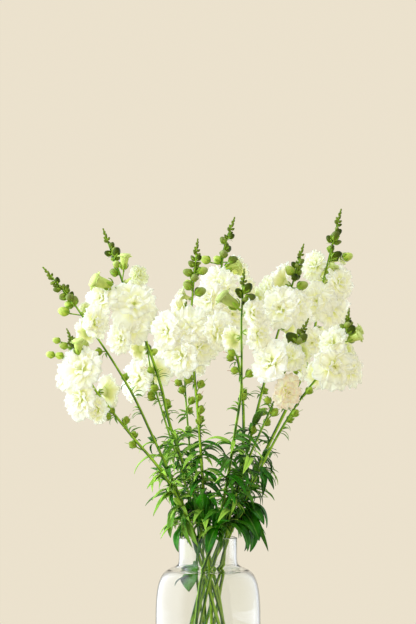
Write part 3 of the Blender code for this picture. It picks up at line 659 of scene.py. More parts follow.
class Bench:
    # short calls for the nodes of a tree
    def __init__(self, tree):
        self.tree = tree

    def feed(self, socket, value):
        if isinstance(value, bpy.types.NodeSocket):
            self.tree.links.new(value, socket)
        elif socket.type == "RGBA" and len(value) == 3:
            socket.default_value = (*value, 1)
        else:
            socket.default_value = value

    def node(self, kind, inputs=None, **values):
        # inputs: what each one gets, by its name or number; the node's outputs come back
        node = self.tree.nodes.new(kind)
        for name, value in values.items():
            setattr(node, name, value)
        for socket, value in (inputs or {}).items():
            self.feed(node.inputs[socket], value)
        return node.outputs

    def number(self, operation, *values, clamp=False):
        inputs = dict(enumerate(values))
        return self.node("ShaderNodeMath", inputs, operation=operation, use_clamp=clamp)["Value"]

    def join(self, *values, operation="ADD"):
        # all values in turn; every result but a plain sum is kept between 0 and 1
        made = values[0]
        for value in values[1:]:
            made = self.number(operation, made, value, clamp=operation != "ADD")
        return made

    def span(self, value, low, high, toLow=0.0, toHigh=1.0, fade="LINEAR"):
        inputs = {"Value": value, "From Min": low, "From Max": high, "To Min": toLow, "To Max": toHigh}
        return self.node("ShaderNodeMapRange", inputs, interpolation_type=fade)["Result"]

    def mix(self, share, one, two, blend="MIX"):
        inputs = {"Factor": share, "A": one, "B": two}
        return self.node("ShaderNodeMix", inputs, data_type="RGBA", blend_type=blend)["Result"]


class Finish(Bench):
    # a material with its Principled shader
    def __init__(self, name, **values):
        self.material = bpy.data.materials.new(name)
        self.material.use_nodes = True
        super().__init__(self.material.node_tree)
        self.shader = self.tree.nodes["Principled BSDF"]
        self.surface = self.tree.nodes["Material Output"].inputs["Surface"]
        for socket, value in values.items():
            self.feed(self.shader.inputs[socket.replace("_", " ")], value)

    def layer(self, name):
        return self.node("ShaderNodeAttribute", attribute_name=name)["Fac"]

    def group(self, tree, **values):
        return self.node("ShaderNodeGroup", values, node_tree=tree)

    def ramp(self, value, stops):
        ramp = self.tree.nodes.new("ShaderNodeValToRGB")
        self.feed(ramp.inputs["Fac"], value)
        elements = ramp.color_ramp.elements
        for element, (position, colour) in zip(elements, (stops[0], stops[-1])):
            element.position, element.color = position, (*colour, 1)
        for position, colour in stops[1:-1]:
            elements.new(position).color = (*colour, 1)
        return ramp.outputs["Color"]

    def bump(self, height, strength, distance):
        bump = self.node("ShaderNodeBump", {"Strength": strength, "Distance": distance, "Height": height})
        self.feed(self.shader.inputs["Normal"], bump["Normal"])

    def blend(self, share, kind, colour):
        # a second, simpler surface mixed into the first
        second = self.node(kind, {"Color": colour})["BSDF"]
        both = self.node("ShaderNodeMixShader", {"Fac": share, 1: self.shader.outputs["BSDF"], 2: second})
        self.feed(self.surface, both["Shader"])

    def glow(self, share, colour):
        # lets some light through, as a thin petal or leaf does
        self.blend(share, "ShaderNodeBsdfTranslucent", colour)

    def colour(self, value):
        self.feed(self.shader.inputs["Base Color"], value)


def shaderGroup(name, inputs, outputs):
    group = bpy.data.node_groups.new(name, "ShaderNodeTree")
    for label, value in inputs.items():
        kind = "NodeSocketFloat" if isinstance(value, float) else "NodeSocketColor"
        group.interface.new_socket(label, in_out="INPUT", socket_type=kind).default_value = value
    for label, kind in outputs.items():
        group.interface.new_socket(label, in_out="OUTPUT", socket_type=kind)
    given, made = group.nodes.new("NodeGroupInput"), group.nodes.new("NodeGroupOutput")
    return Bench(group), given.outputs, made.inputs


def mottleGroup():
    # two colours that drift into each other, and the same drift as a height
    bench, given, made = shaderGroup(
        "softMottle", {"Scale": 60.0, "Light": (1, 1, 1, 1), "Dark": (0, 0, 0, 1)},
        {"Color": "NodeSocketColor", "Height": "NodeSocketFloat"},
    )
    place = bench.node("ShaderNodeTexCoord")["Object"]
    drift = bench.node("ShaderNodeTexNoise", {"Vector": place, "Scale": given["Scale"], "Detail": 4.0})["Fac"]
    soft = bench.span(drift, 0.3, 0.7)
    bench.feed(made["Color"], bench.mix(soft, given["Dark"], given["Light"]))
    bench.feed(made["Height"], soft)
    return bench.tree


def veinGroup():
    # fine lines that run along a petal or blade, from its own across and along layers
    bench, given, made = shaderGroup(
        "fineVeins", {"Across": 0.0, "Along": 0.0, "Count": 9.0, "Slant": 0.0}, {"Mask": "NodeSocketFloat"}
    )
    away = bench.number("ABSOLUTE", given["Across"])
    slant = bench.number("MULTIPLY_ADD", given["Along"], given["Slant"], away)
    saw = bench.number("PINGPONG", bench.number("MULTIPLY", slant, given["Count"]), 0.5)
    bench.feed(made["Mask"], bench.span(saw, 0.12, 0.0))
    return bench.tree


softMottle = mottleGroup()
fineVeins = veinGroup()


def petalFinish():
    finish = Finish("whitePetal", Roughness=0.6, Specular_IOR_Level=0.2, Subsurface_Weight=0.75,
                    Subsurface_Radius=(1.0, 1.0, 0.75), Subsurface_Scale=4.5 * mm)
    # painted light: a faint yellowish glow lifts the shade in the creases between the petals, standing in for
    # the light that passes between many white petals
    finish.feed(finish.shader.inputs["Emission Color"], (1.0, 0.97, 0.66))
    finish.feed(finish.shader.inputs["Emission Strength"], 0.18)
    reach, young = finish.layer("reach"), finish.layer("young")
    drift = finish.group(softMottle, Scale=90.0, Light=(1.0, 1.0, 1.0), Dark=(0.98, 0.98, 0.90))
    veins = finish.group(fineVeins, Across=finish.layer("across"), Along=reach, Count=7.0, Slant=0.1)["Mask"]
    uneven, greener = finish.span(drift["Height"], 0, 1, -0.08, 0.08), finish.span(young, 0, 1, 0, -0.35)
    throat = [(0.0, (0.62, 0.70, 0.12)), (0.2, (0.86, 0.88, 0.42)), (0.4, (0.93, 0.93, 0.74)),
              (0.7, (0.96, 0.95, 0.98))]
    throat = finish.ramp(finish.join(reach, uneven, greener), throat)
    petals = finish.mix(1.0, throat, drift["Color"], blend="MULTIPLY")
    petals = finish.mix(finish.span(young, 0.2, 1.0, 0, 0.55), petals, (0.72, 0.79, 0.30))
    petals = finish.mix(finish.span(veins, 0, 1, 0, 0.08), petals, (0.85, 0.9, 0.68))
    dryness = finish.join(finish.layer("dry"), finish.span(reach, 0.7, 1.0, 0.6, 3.2), operation="MULTIPLY")
    withered = finish.mix(dryness, petals, (0.86, 0.60, 0.38))
    grain = finish.span(reach, -0.6, -0.4, 1, 0)
    finish.colour(finish.mix(grain, withered, (0.30, 0.17, 0.03)))
    finish.bump(finish.join(veins, drift["Height"]), 0.25, 0.2 * mm)
    finish.glow(0.5, finish.mix(1.0, withered, (1.0, 1.0, 0.9), blend="MULTIPLY"))
    return finish.material


def leafFinish():
    finish = Finish("leafGreen", Roughness=0.26, Specular_IOR_Level=0.3)
    along, across = finish.layer("along"), finish.layer("across")
    drift = finish.group(softMottle, Scale=60.0, Light=(0.035, 0.29, 0.0005), Dark=(0.0005, 0.022, 0.0001))
    # pale leaves: partly young growth, partly painted light on leaves lit by the lamp on the left
    young = finish.mix(finish.layer("young"), drift["Color"], (0.56, 0.86, 0.10))
    veins = finish.group(fineVeins, Across=across, Along=along, Count=5.0, Slant=-1.6)["Mask"]
    sides = finish.span(across, -0.14, -0.02), finish.span(across, 0.14, 0.02, 0, 0.7)
    midrib = finish.join(*sides, operation="MULTIPLY")
    paler = finish.mix(midrib, young, (0.16, 0.36, 0.04))
    paler = finish.mix(finish.span(veins, 0, 1, 0, 0.25), paler, (0.08, 0.24, 0.015))
    finish.colour(paler)
    finish.bump(finish.join(veins, midrib, drift["Height"]), 0.5, 0.5 * mm)
    finish.glow(0.2, paler)
    return finish.material


def stalkFinish():
    finish = Finish("stalkGreen", Roughness=0.26, Specular_IOR_Level=0.32)
    drift = finish.span(finish.group(softMottle, Scale=60.0)["Height"], 0, 1, -0.6, 0.6)
    # painted light: pale and dark streaks along the stalk, from the layer that waves round it and a slow
    # drift; partly real ridges, partly painted lit edges and painted shade
    streakAndLitSide = finish.span(finish.join(finish.layer("ridge"), drift), -0.9, 1.2)
    green = finish.mix(streakAndLitSide, (0.012, 0.075, 0.0004), (0.44, 0.68, 0.03))
    fibre = finish.group(softMottle, Scale=700.0, Light=(1.0, 1.0, 1.0), Dark=(0.8, 0.85, 0.75))
    finish.colour(finish.mix(1.0, green, fibre["Color"], blend="MULTIPLY"))
    finish.bump(fibre["Height"], 0.3, 0.15 * mm)
    return finish.material


def budFinish():
    # young: from ripe and pale to tight and dark
    finish = Finish("budGreen", Roughness=0.34, Specular_IOR_Level=0.22)
    along = finish.layer("along")
    drift = finish.group(softMottle, Scale=220.0, Light=(1.0, 1.0, 1.0), Dark=(0.72, 0.78, 0.62))
    ripe = [(0.0, (0.34, 0.46, 0.02)), (0.45, (0.58, 0.68, 0.08)), (1.0, (0.76, 0.82, 0.28))]
    tight = [(0.0, (0.48, 0.56, 0.05)), (0.4, (0.09, 0.13, 0.001)), (1.0, (0.006, 0.014, 0.0005))]
    body = finish.mix(finish.layer("young"), finish.ramp(along, ripe), finish.ramp(along, tight))
    cover = finish.mix(finish.layer("sepal"), body, (0.30, 0.46, 0.03))
    cover = finish.mix(finish.layer("dry"), cover, (0.62, 0.22, 0.03))
    shade = finish.mix(1.0, cover, drift["Color"], blend="MULTIPLY")
    finish.colour(shade)
    finish.bump(drift["Height"], 0.3, 0.2 * mm)
    finish.glow(0.12, shade)
    return finish.material


def clearFinish(name, colour, ior):
    # clear to look through, and lets the studio light reach what is inside it
    finish = Finish(name, Base_Color=colour, Roughness=0.0, IOR=ior, Transmission_Weight=1.0)
    finish.blend(finish.node("ShaderNodeLightPath")["Is Shadow Ray"], "ShaderNodeBsdfTransparent", colour)
    return finish.material


petalWhite = petalFinish()
leafGreen = leafFinish()
stalkGreen = stalkFinish()
budGreen = budFinish()
vaseGlass = clearFinish("vaseGlass", (0.97, 0.99, 0.985), 1.47)
stillWater = clearFinish("stillWater", (0.985, 0.995, 0.99), 1.333)
print("materials made")

# Geometry Nodes: what repeats along the stems, and the stalks themselves


def newTree(name, sockets):
    tree = bpy.data.node_groups.new(name, "GeometryNodeTree")
    tree.interface.new_socket("Geometry", in_out="INPUT", socket_type="NodeSocketGeometry")
    for label, kind in sockets.items():
        tree.interface.new_socket(label, in_out="INPUT", socket_type=kind)
    tree.interface.new_socket("Finish", in_out="INPUT", socket_type="NodeSocketMaterial")
    tree.interface.new_socket("Geometry", in_out="OUTPUT", socket_type="NodeSocketGeometry")
    return Bench(tree), tree.nodes.new("NodeGroupInput").outputs


def finishedTree(bench, given, geometry):
    real = bench.node("GeometryNodeRealizeInstances", {"Geometry": geometry})
    paint = bench.node("GeometryNodeSetMaterial", {"Geometry": real["Geometry"], "Material": given["Finish"]})
    bench.feed(bench.tree.nodes.new("NodeGroupOutput").inputs["Geometry"], paint["Geometry"])
    return bench.tree


def storedLayer(bench, name, kind):
    return bench.node("GeometryNodeInputNamedAttribute", {"Name": name}, data_type=kind)["Attribute"]


def growTree():
    # one of the shapes at each point, turned and sized by the point's own layers
    bench, given = newTree("growOnStem", {"Shapes": "NodeSocketCollection"})
    shapes = bench.node("GeometryNodeCollectionInfo", {
        "Collection": given["Shapes"], "Separate Children": True, "Reset Children": True,
    })
    grown = bench.node("GeometryNodeInstanceOnPoints", {
        "Points": given["Geometry"], "Instance": shapes["Instances"], "Pick Instance": True,
        "Instance Index": storedLayer(bench, "pick", "INT"),
        "Rotation": storedLayer(bench, "turn", "QUATERNION"),
        "Scale": storedLayer(bench, "grow", "FLOAT_VECTOR"),
    })
    return finishedTree(bench, given, grown["Instances"])


def stalkTree():
    # a round stalk along every line of points, as thick as its layer says; a layer that waves round it gives
    # pale and dark streaks, partly real ridges and partly painted lit edges and painted shade
    bench, given = newTree("stalkAlongLine", {"Sides": "NodeSocketInt", "Spacing": "NodeSocketFloat"})
    line = bench.node("GeometryNodeMeshToCurve", {"Mesh": given["Geometry"]})["Curve"]
    line = bench.node("GeometryNodeCurveSplineType", {"Curve": line}, spline_type="CATMULL_ROM")["Curve"]
    spacing = {"Curve": line, "Length": given["Spacing"]}
    line = bench.node("GeometryNodeResampleCurve", spacing, mode="LENGTH")["Curve"]
    circle = {"Radius": 1.0, "Resolution": given["Sides"]}
    ring = bench.node("GeometryNodeCurvePrimitiveCircle", circle)["Curve"]
    turn = bench.node("GeometryNodeSplineParameter")["Factor"]
    wave = bench.number("SINE", bench.number("MULTIPLY", turn, 2 * pi * stemSettings["ridgesAndLitSides"]))
    ridge = {"Geometry": ring, "Name": "ridge", "Value": wave}
    ring = bench.node("GeometryNodeStoreNamedAttribute", ridge, data_type="FLOAT", domain="POINT")["Geometry"]
    thick = storedLayer(bench, "thick", "FLOAT")
    skin = {"Curve": line, "Profile Curve": ring, "Scale": thick, "Fill Caps": True}
    skin = bench.node("GeometryNodeCurveToMesh", skin)
    smooth = bench.node("GeometryNodeSetShadeSmooth", {"Geometry": skin["Mesh"]})
    return finishedTree(bench, given, smooth["Geometry"])


def linked(name, data):
    made = bpy.data.objects.new(name, data)
    bpy.context.scene.collection.objects.link(made)
    return made


def declared(piece, node, slotName):
    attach(piece, "root")
    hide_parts(node)
    return piece


def madeByTree(name, mesh, tree, inputs):
    piece = linked(name, mesh)
    modifier = piece.modifiers.new("grow", "NODES")
    modifier.node_group = tree
    sockets = {item.name: item.identifier for item in tree.interface.items_tree if item.in_out == "INPUT"}
    for label, value in inputs.items():
        modifier[sockets[label]] = value
    graph = bpy.context.evaluated_depsgraph_get()
    result = bpy.data.meshes.new_from_object(piece.evaluated_get(graph))
    piece.modifiers.clear()
    piece.data = result
    bpy.data.meshes.remove(mesh)
    return piece


def linesMesh(lines):
    # lines: lists of (point, radius)
    points, edges, thick = [], [], []
    for line in lines:
        edges += [(len(points) + i, len(points) + i + 1) for i in range(len(line) - 1)]
        points += [point for point, _ in line]
        thick += [radius for _, radius in line]
    mesh = bpy.data.meshes.new("lines")
    mesh.from_pydata(points, edges, [])
    mesh.attributes.new("thick", "FLOAT", "POINT").data.foreach_set("value", thick)
    return mesh


def pointsMesh(places):
    # places: shape number, matrix, youth and dryness
    picks, spots, young, dry = zip(*places)
    turns = [value for spot in spots for value in spot.to_quaternion()]
    sizes = [value for spot in spots for value in spot.to_scale()]
    mesh = bpy.data.meshes.new("points")
    mesh.from_pydata([spot.to_translation() for spot in spots], [], [])
    mesh.attributes.new("pick", "INT", "POINT").data.foreach_set("value", picks)
    mesh.attributes.new("turn", "QUATERNION", "POINT").data.foreach_set("value", turns)
    mesh.attributes.new("grow", "FLOAT_VECTOR", "POINT").data.foreach_set("vector", sizes)
    mesh.attributes.new("young", "FLOAT", "POINT").data.foreach_set("value", young)
    mesh.attributes.new("dry", "FLOAT", "POINT").data.foreach_set("value", dry)
    return mesh


def shapeShelf(name, meshes):
    shelf = bpy.data.collections.new(name)
    bpy.context.scene.collection.children.link(shelf)
    for i, mesh in enumerate(meshes):
        shelf.objects.link(bpy.data.objects.new(f"{name}{i:02d}", mesh))
    return shelf


growOnStem = growTree()
stalkAlongLine = stalkTree()

# Shapes to pick from
bloomShapes = [
    bloomMesh(f"bloom{i}", seed, 0.0, i in bloomSettings["withAnthers"])
    for i, seed in enumerate(bloomSettings["seeds"])
]
openBlooms = len(bloomShapes)
cuppedBloom, bloomTube = openBlooms, openBlooms + 1
bloomShapes.append(bloomMesh("cupped", bloomSettings["cuppedSeed"], bloomSettings["cuppedClosing"], False))
bloomShapes.append(tubeMesh("tube"))
leafKinds = {}
leafShapes = []
for droop in bladeSettings["droops"]:
    for seed in (1, 2):
        leafKinds[f"narrow_{droop}", seed] = len(leafShapes)
        leafShapes.append(bladeMesh("narrow", droop, seed + droop))
    leafKinds[f"large_{droop}", 1] = leafKinds[f"large_{droop}", 2] = len(leafShapes)
    leafShapes.append(bladeMesh("large", droop, droop))
for seed, droop in enumerate(bladeSettings["tuftDroops"], 1):
    leafKinds["tuft", seed] = len(leafShapes)
    leafShapes.append(bladeMesh("tuft", droop, seed))
budShapes = [budMesh("bud0", 5), budMesh("bud1", 6), openingMesh("opening", 7), tipMesh("tip", 8),
             podMesh("pod0", 9, 0.0), podMesh("pod1", 10, 1.0), calyxMesh("calyx", 11)]
openingBud, budTip, firstPod, calyx = 2, 3, 4, 6
bloomShelf = shapeShelf("bloomShapes", bloomShapes)
leafShelf = shapeShelf("leafShapes", leafShapes)
budShelf = shapeShelf("budShapes", budShapes)
print("shapes made:", len(bloomShapes), "blooms,", len(leafShapes), "leaves,", len(budShapes), "buds")

# What the blooms, buds and leaves of every stem share, in millimetres and degrees
# cupped, young: a bloom under this size is; tube: where the shortest one starts and ends
headSettings = dict(turn=32, sideOn=0.7, fuller=1.05, cupped=0.52, young=0.75, faster=1.6, higher=0.25,
                    rolls=(0, 72, 144, 216, 288), tube=(2.6, 12.5))
witheredFlower = dict(stem="front_right", share=0, dry=0.16)
openingStems = ("left", "far_left", "middle", "front", "far_right", "right", "front_left", "right_low")
spikeSettings = dict(tight=0.35, vary=0.9, extra=9, size=(0.62, 0.34), uneven=0.3, start=0.3, length=0.72,
                     lift=(25, 60), longer=1.35, paler=0.5, tip=0.8, upright=89.9)
podGrowth = dict(size=1.2, young=0.3, sides=(-40, 45))
# small leaves at the root of everything that grows; up: from that root
tufts = {
    "flower": dict(up=-2, lift=20, size=0.3, young=0.4), "bud": dict(up=-1.5, lift=35, size=0.22, young=0.3),
    "pod": dict(up=-2, lift=30, size=(0.25, 0.42), young=0.25),
    "leaf": dict(up=1, lift=(15, 70), size=(0.35, 0.72), count=4, spread=75),
}
# paler leaves, partly young ones and partly painted light from the lamp on the left: most is their share at
# the left, which falls by fall across width; pale and dark: the youth each kind gets
youthAndSideLight = dict(left=-60, width=100, most=0.6, fall=0.45, pale=(0.55, 1.0), dark=(0, 0.15))
# Leaves that show one by one at the front, in millimetres and degrees
# root height on the stem, tip, width, droop, youth, azimuth and elevation that the upper side faces; youth
# makes a leaf paler, and the paler ones on the left also stand in for painted light from the lamp
aimedLeaves = {
    "middle_left": [(219, (-15, -30, 262), 10.5, 15, 0.05, 255, 0), (219, (3, -32, 266), 11, 15, 0, 290, 0),
                    (216, (15, -40, 206), 7, 40, 0.15, 265, 35), (318, (21, -38, 304), 6, 110, 0, 280, 60),
                    (304, (19, -42, 287), 6.5, 110, 0.05, 275, 55),
                    (308, (-25, -38, 297), 6, 110, 0.1, 255, 60),
                    (286, (16, -44, 266), 7, 70, 0, 285, 50), (292, (-24, -40, 279), 6.5, 70, 0.1, 250, 50),
                    (272, (18, -46, 256), 8, 70, 0, 280, 45), (276, (-20, -42, 258), 7, 110, 0, 250, 50),
                    (260, (12, -46, 240), 7, 110, 0, 275, 50)],
    "front_right": [(212, (17, -44, 246), 15.5, 15, 0.05, 248, 15)],
    "front": [(214, (9, -42, 247), 12, 15, 0, 285, 10), (330, (60, -84, 312), 6, 70, 0.1, 300, 50),
              (318, (8, -66, 316), 5.5, 110, 0.1, 255, 60), (300, (9, -62, 293), 6, 110, 0, 250, 60),
              (284, (44, -62, 262), 7, 70, 0, 290, 45), (276, (5, -56, 270), 6.5, 110, 0, 250, 55)],
    "front_left": [(232, (-12, -38, 201), 8, 40, 0.35, 240, 25), (238, (-17, -34, 200), 7, 70, 0.3, 230, 20),
                   (250, (-42, -30, 211), 10, 70, 0.25, 235, 25),
                   (262, (-62, -40, 236), 6.5, 70, 0.5, 230, 35),
                   (282, (-70, -50, 268), 6, 40, 0.6, 240, 45)],
    "right_low": [(241, (60, -28, 208), 18, 70, 0, 285, 30), (248, (65, -22, 226), 14, 70, 0, 300, 35),
                  (238, (48, -32, 202), 7.5, 40, 0.1, 280, 10), (250, (68, -26, 195), 8, 40, 0.05, 290, 10),
                  (288, (76, -25, 266), 8, 70, 0, 290, 45), (292, (63, -24, 257), 8, 70, 0, 285, 10)],
    "left": [(316, (-59, -16, 282), 7, 40, 0.3, 225, 35), (312, (-50, -14, 329), 6.5, 70, 0.35, 245, 60),
             (301, (-8, -14, 318), 8, 40, 0.5, 265, 50), (319, (-10, -18, 326), 6, 70, 0.2, 260, 55)],
}
aimedSettings = dict(broad=9, fuller=1.2)
insideLeaf = dict(stem="back_left", height=181, azimuth=226, lift=-50, size=1.1, widen=1.9, youth=0.1)

# Young growth at the foot of the spikes: across, height, size, tightness (0 lime, 1 dark), shape
youngGrowth = {
    "left": [(-121, 503, 1.75, 0, "tube"), (-97, 527, 1.25, 0, "upright"), (-106, 538, 1.1, 1, "bud"),
             (-66, 402, 1.1, 0.3, "pod")],
    "far_left": [(-164, 470, 1.25, 0.1, "bud"), (-152, 482, 1.0, 0.7, "bud")],
    "front_left": [(-178, 421, 0.95, 0.1, "bud"), (-168, 420, 0.95, 0, "bud"), (-163, 431, 0.95, 0.4, "bud"),
                   (-171, 437, 0.85, 0.2, "bud"), (-147, 430, 1.25, 0, "opening"),
                   (-126, 368, 1.2, 0.3, "pod"), (-118, 361, 1.1, 0.2, "pod"), (-109, 357, 1.0, 0.3, "pod"),
                   (-93, 346, 1.2, 0.5, "pod"), (-86, 318, 1.2, 0.6, "pod")],
    "middle_left": [(-23, 514, 1.05, 0.6, "bud"), (-6, 516, 1.1, 0.4, "bud"), (-23, 499, 1.1, 0.5, "bud"),
                    (-8, 387, 1.25, 0.2, "pod"), (-10, 372, 1.1, 0.3, "pod"), (-8, 358, 1.25, 0.4, "pod"),
                    (-10, 345, 1.2, 0.4, "pod")],
    "back": [(-21, 391, 1.2, 0.2, "pod"), (-31, 377, 1.15, 0.3, "pod"), (-19, 365, 1.25, 0.3, "pod")],
    "back_left": [(-66, 374, 1.2, 0.3, "pod"), (-48, 364, 1.1, 0.2, "pod"), (-68, 394, 1.1, 0.2, "pod")],
    "middle": [(-3, 530, 1.15, 0.15, "bud"), (29, 530, 1.05, 0.8, "bud")],
    "front": [(24, 482, 1.7, 0.3, "tube"), (44, 496, 1.15, 1, "bud"), (47, 485, 1.15, 0.9, "bud"),
              (26, 423, 1.2, 0.3, "pod"), (47, 400, 1.3, 0.3, "pod")],
    "right": [(109, 500, 1.25, 0.4, "bud"), (95, 517, 1.2, 0.3, "bud"), (63, 354, 1.3, 0.3, "pod"),
              (52, 333, 1.3, 0.4, "pod")],
    "far_right": [(150, 535, 1.3, 1, "bud"), (149, 558, 1.2, 0.9, "bud"), (163, 534, 1.2, 0, "bud"),
                  (143, 518, 1.2, 0.1, "opening")],
    "front_right": [(94, 441, 1.35, 1, "bud"), (106, 440, 1.15, 0.9, "bud"), (99, 421, 1.1, 0.5, "bud"),
                    (75, 356, 1.35, 0.3, "pod")],
    "right_low": [(163, 449, 1.1, 1, "bud"), (167, 440, 1.15, 0, "opening"), (100, 353, 1.25, 0.3, "pod"),
                  (116, 379, 1.2, 0.2, "pod")],
}
# Small leafy shoots on the bare part of the stems: height, azimuth
shoots = {
    "left": [(392, 0), (366, 200), (350, 10)], "far_left": [(372, 350), (352, 185)], "front": [(356, 180)],
    "front_left": [(330, 40)], "middle": [(370, 20)], "right": [(372, 190)], "far_right": [(372, 10)],
    "right_low": [(330, 10)], "front_right": [(352, 185)], "middle_left": [(330, 10)], "back": [(345, 170)],
}
shootSettings = dict(count=4, step=2, fan=35, lift=(25, 15), size=(0.46, -0.06), young=(0.2, 0.15), widen=1.5)
# middle: from the base to the middle; forward: how far it stands before the stem; drop: how far up it leans
youngKinds = {
    "bud": dict(middle=7.6, forward=4, drop=0.3), "pod": dict(middle=8.4, forward=2, drop=0.3),
    "opening": dict(middle=10, forward=13, drop=0.3), "tube": dict(middle=10, forward=28, drop=0.3),
    "upright": dict(middle=10, forward=10, drop=2.2),
}
youngSettings = dict(foremost=122, rise=0.25, flat=0.3, stalk=0.75)


def youngPlace(route, across, height, size, kind):
    # the middle of a bud is given; its stalk leaves the stem lower down
    aside = abs(across * mm - atHeight(route, height * mm)[0].x) / mm
    reach = size * kind["middle"]
    drop = max(kind["drop"] * aside, sqrt(max(0, reach ** 2 - aside ** 2)))
    root, direction = atHeight(route, (height - drop) * mm)
    depth = max(root.y - kind["forward"] * mm, -youngSettings["foremost"] * mm)
    middle = Vector((across * mm, depth, height * mm))
    toward = (middle - root) * Vector((1, youngSettings["flat"], 1))
    growth = (toward.normalized() + direction * youngSettings["rise"]).normalized()
    return root, middle - growth * reach * mm, direction, growth


def leafYouthAndSideLight(rng, place):
    # paler leaves among dark ones, and more of them on the left: partly young leaves, partly painted light on
    # the side that faces the lamp
    side = (place.to_translation().x / mm - youthAndSideLight["left"]) / youthAndSideLight["width"]
    chance = youthAndSideLight["most"] - youthAndSideLight["fall"] * min(1, max(0, side))
    return rng.uniform(*youthAndSideLight["pale" if rng.random() < chance else "dark"])


def aimedPlace(route, height, tip, width, droop, azimuth, elevation, shapeWidth):
    # from the stem to the given tip, with the upper side turned as given
    root = atHeight(route, height * mm)[0]
    chord = Vector(tip) * mm - root
    size = chord.length / leafSettings["length"]
    chord.normalize()
    face = sideways(chord, azimuth, tan(radians(elevation)))
    half = radians(droop / 2)
    growth = chord * cos(half) + face * sin(half)
    upper = face * cos(half) - chord * sin(half)
    turn = Matrix((upper.cross(growth), upper, growth)).transposed().to_4x4()
    return Matrix.Translation(root) @ turn @ Matrix.Diagonal((width * mm / shapeWidth, size, size, 1))


def headTurn(place, out):
    # a flower that shows its edge to the front turns towards it
    axis = out.cross(Vector((0, -1, 0)))
    sideOn = headSettings["sideOn"]
    turn = radians(headSettings["turn"]) * max(0, axis.length - sideOn) / (1 - sideOn)
    inside = place.to_3x3().normalized().inverted() @ axis
    return Matrix.Rotation(turn, 4, inside)


def clamped(value):
    return max(0.0, min(1.0, value))


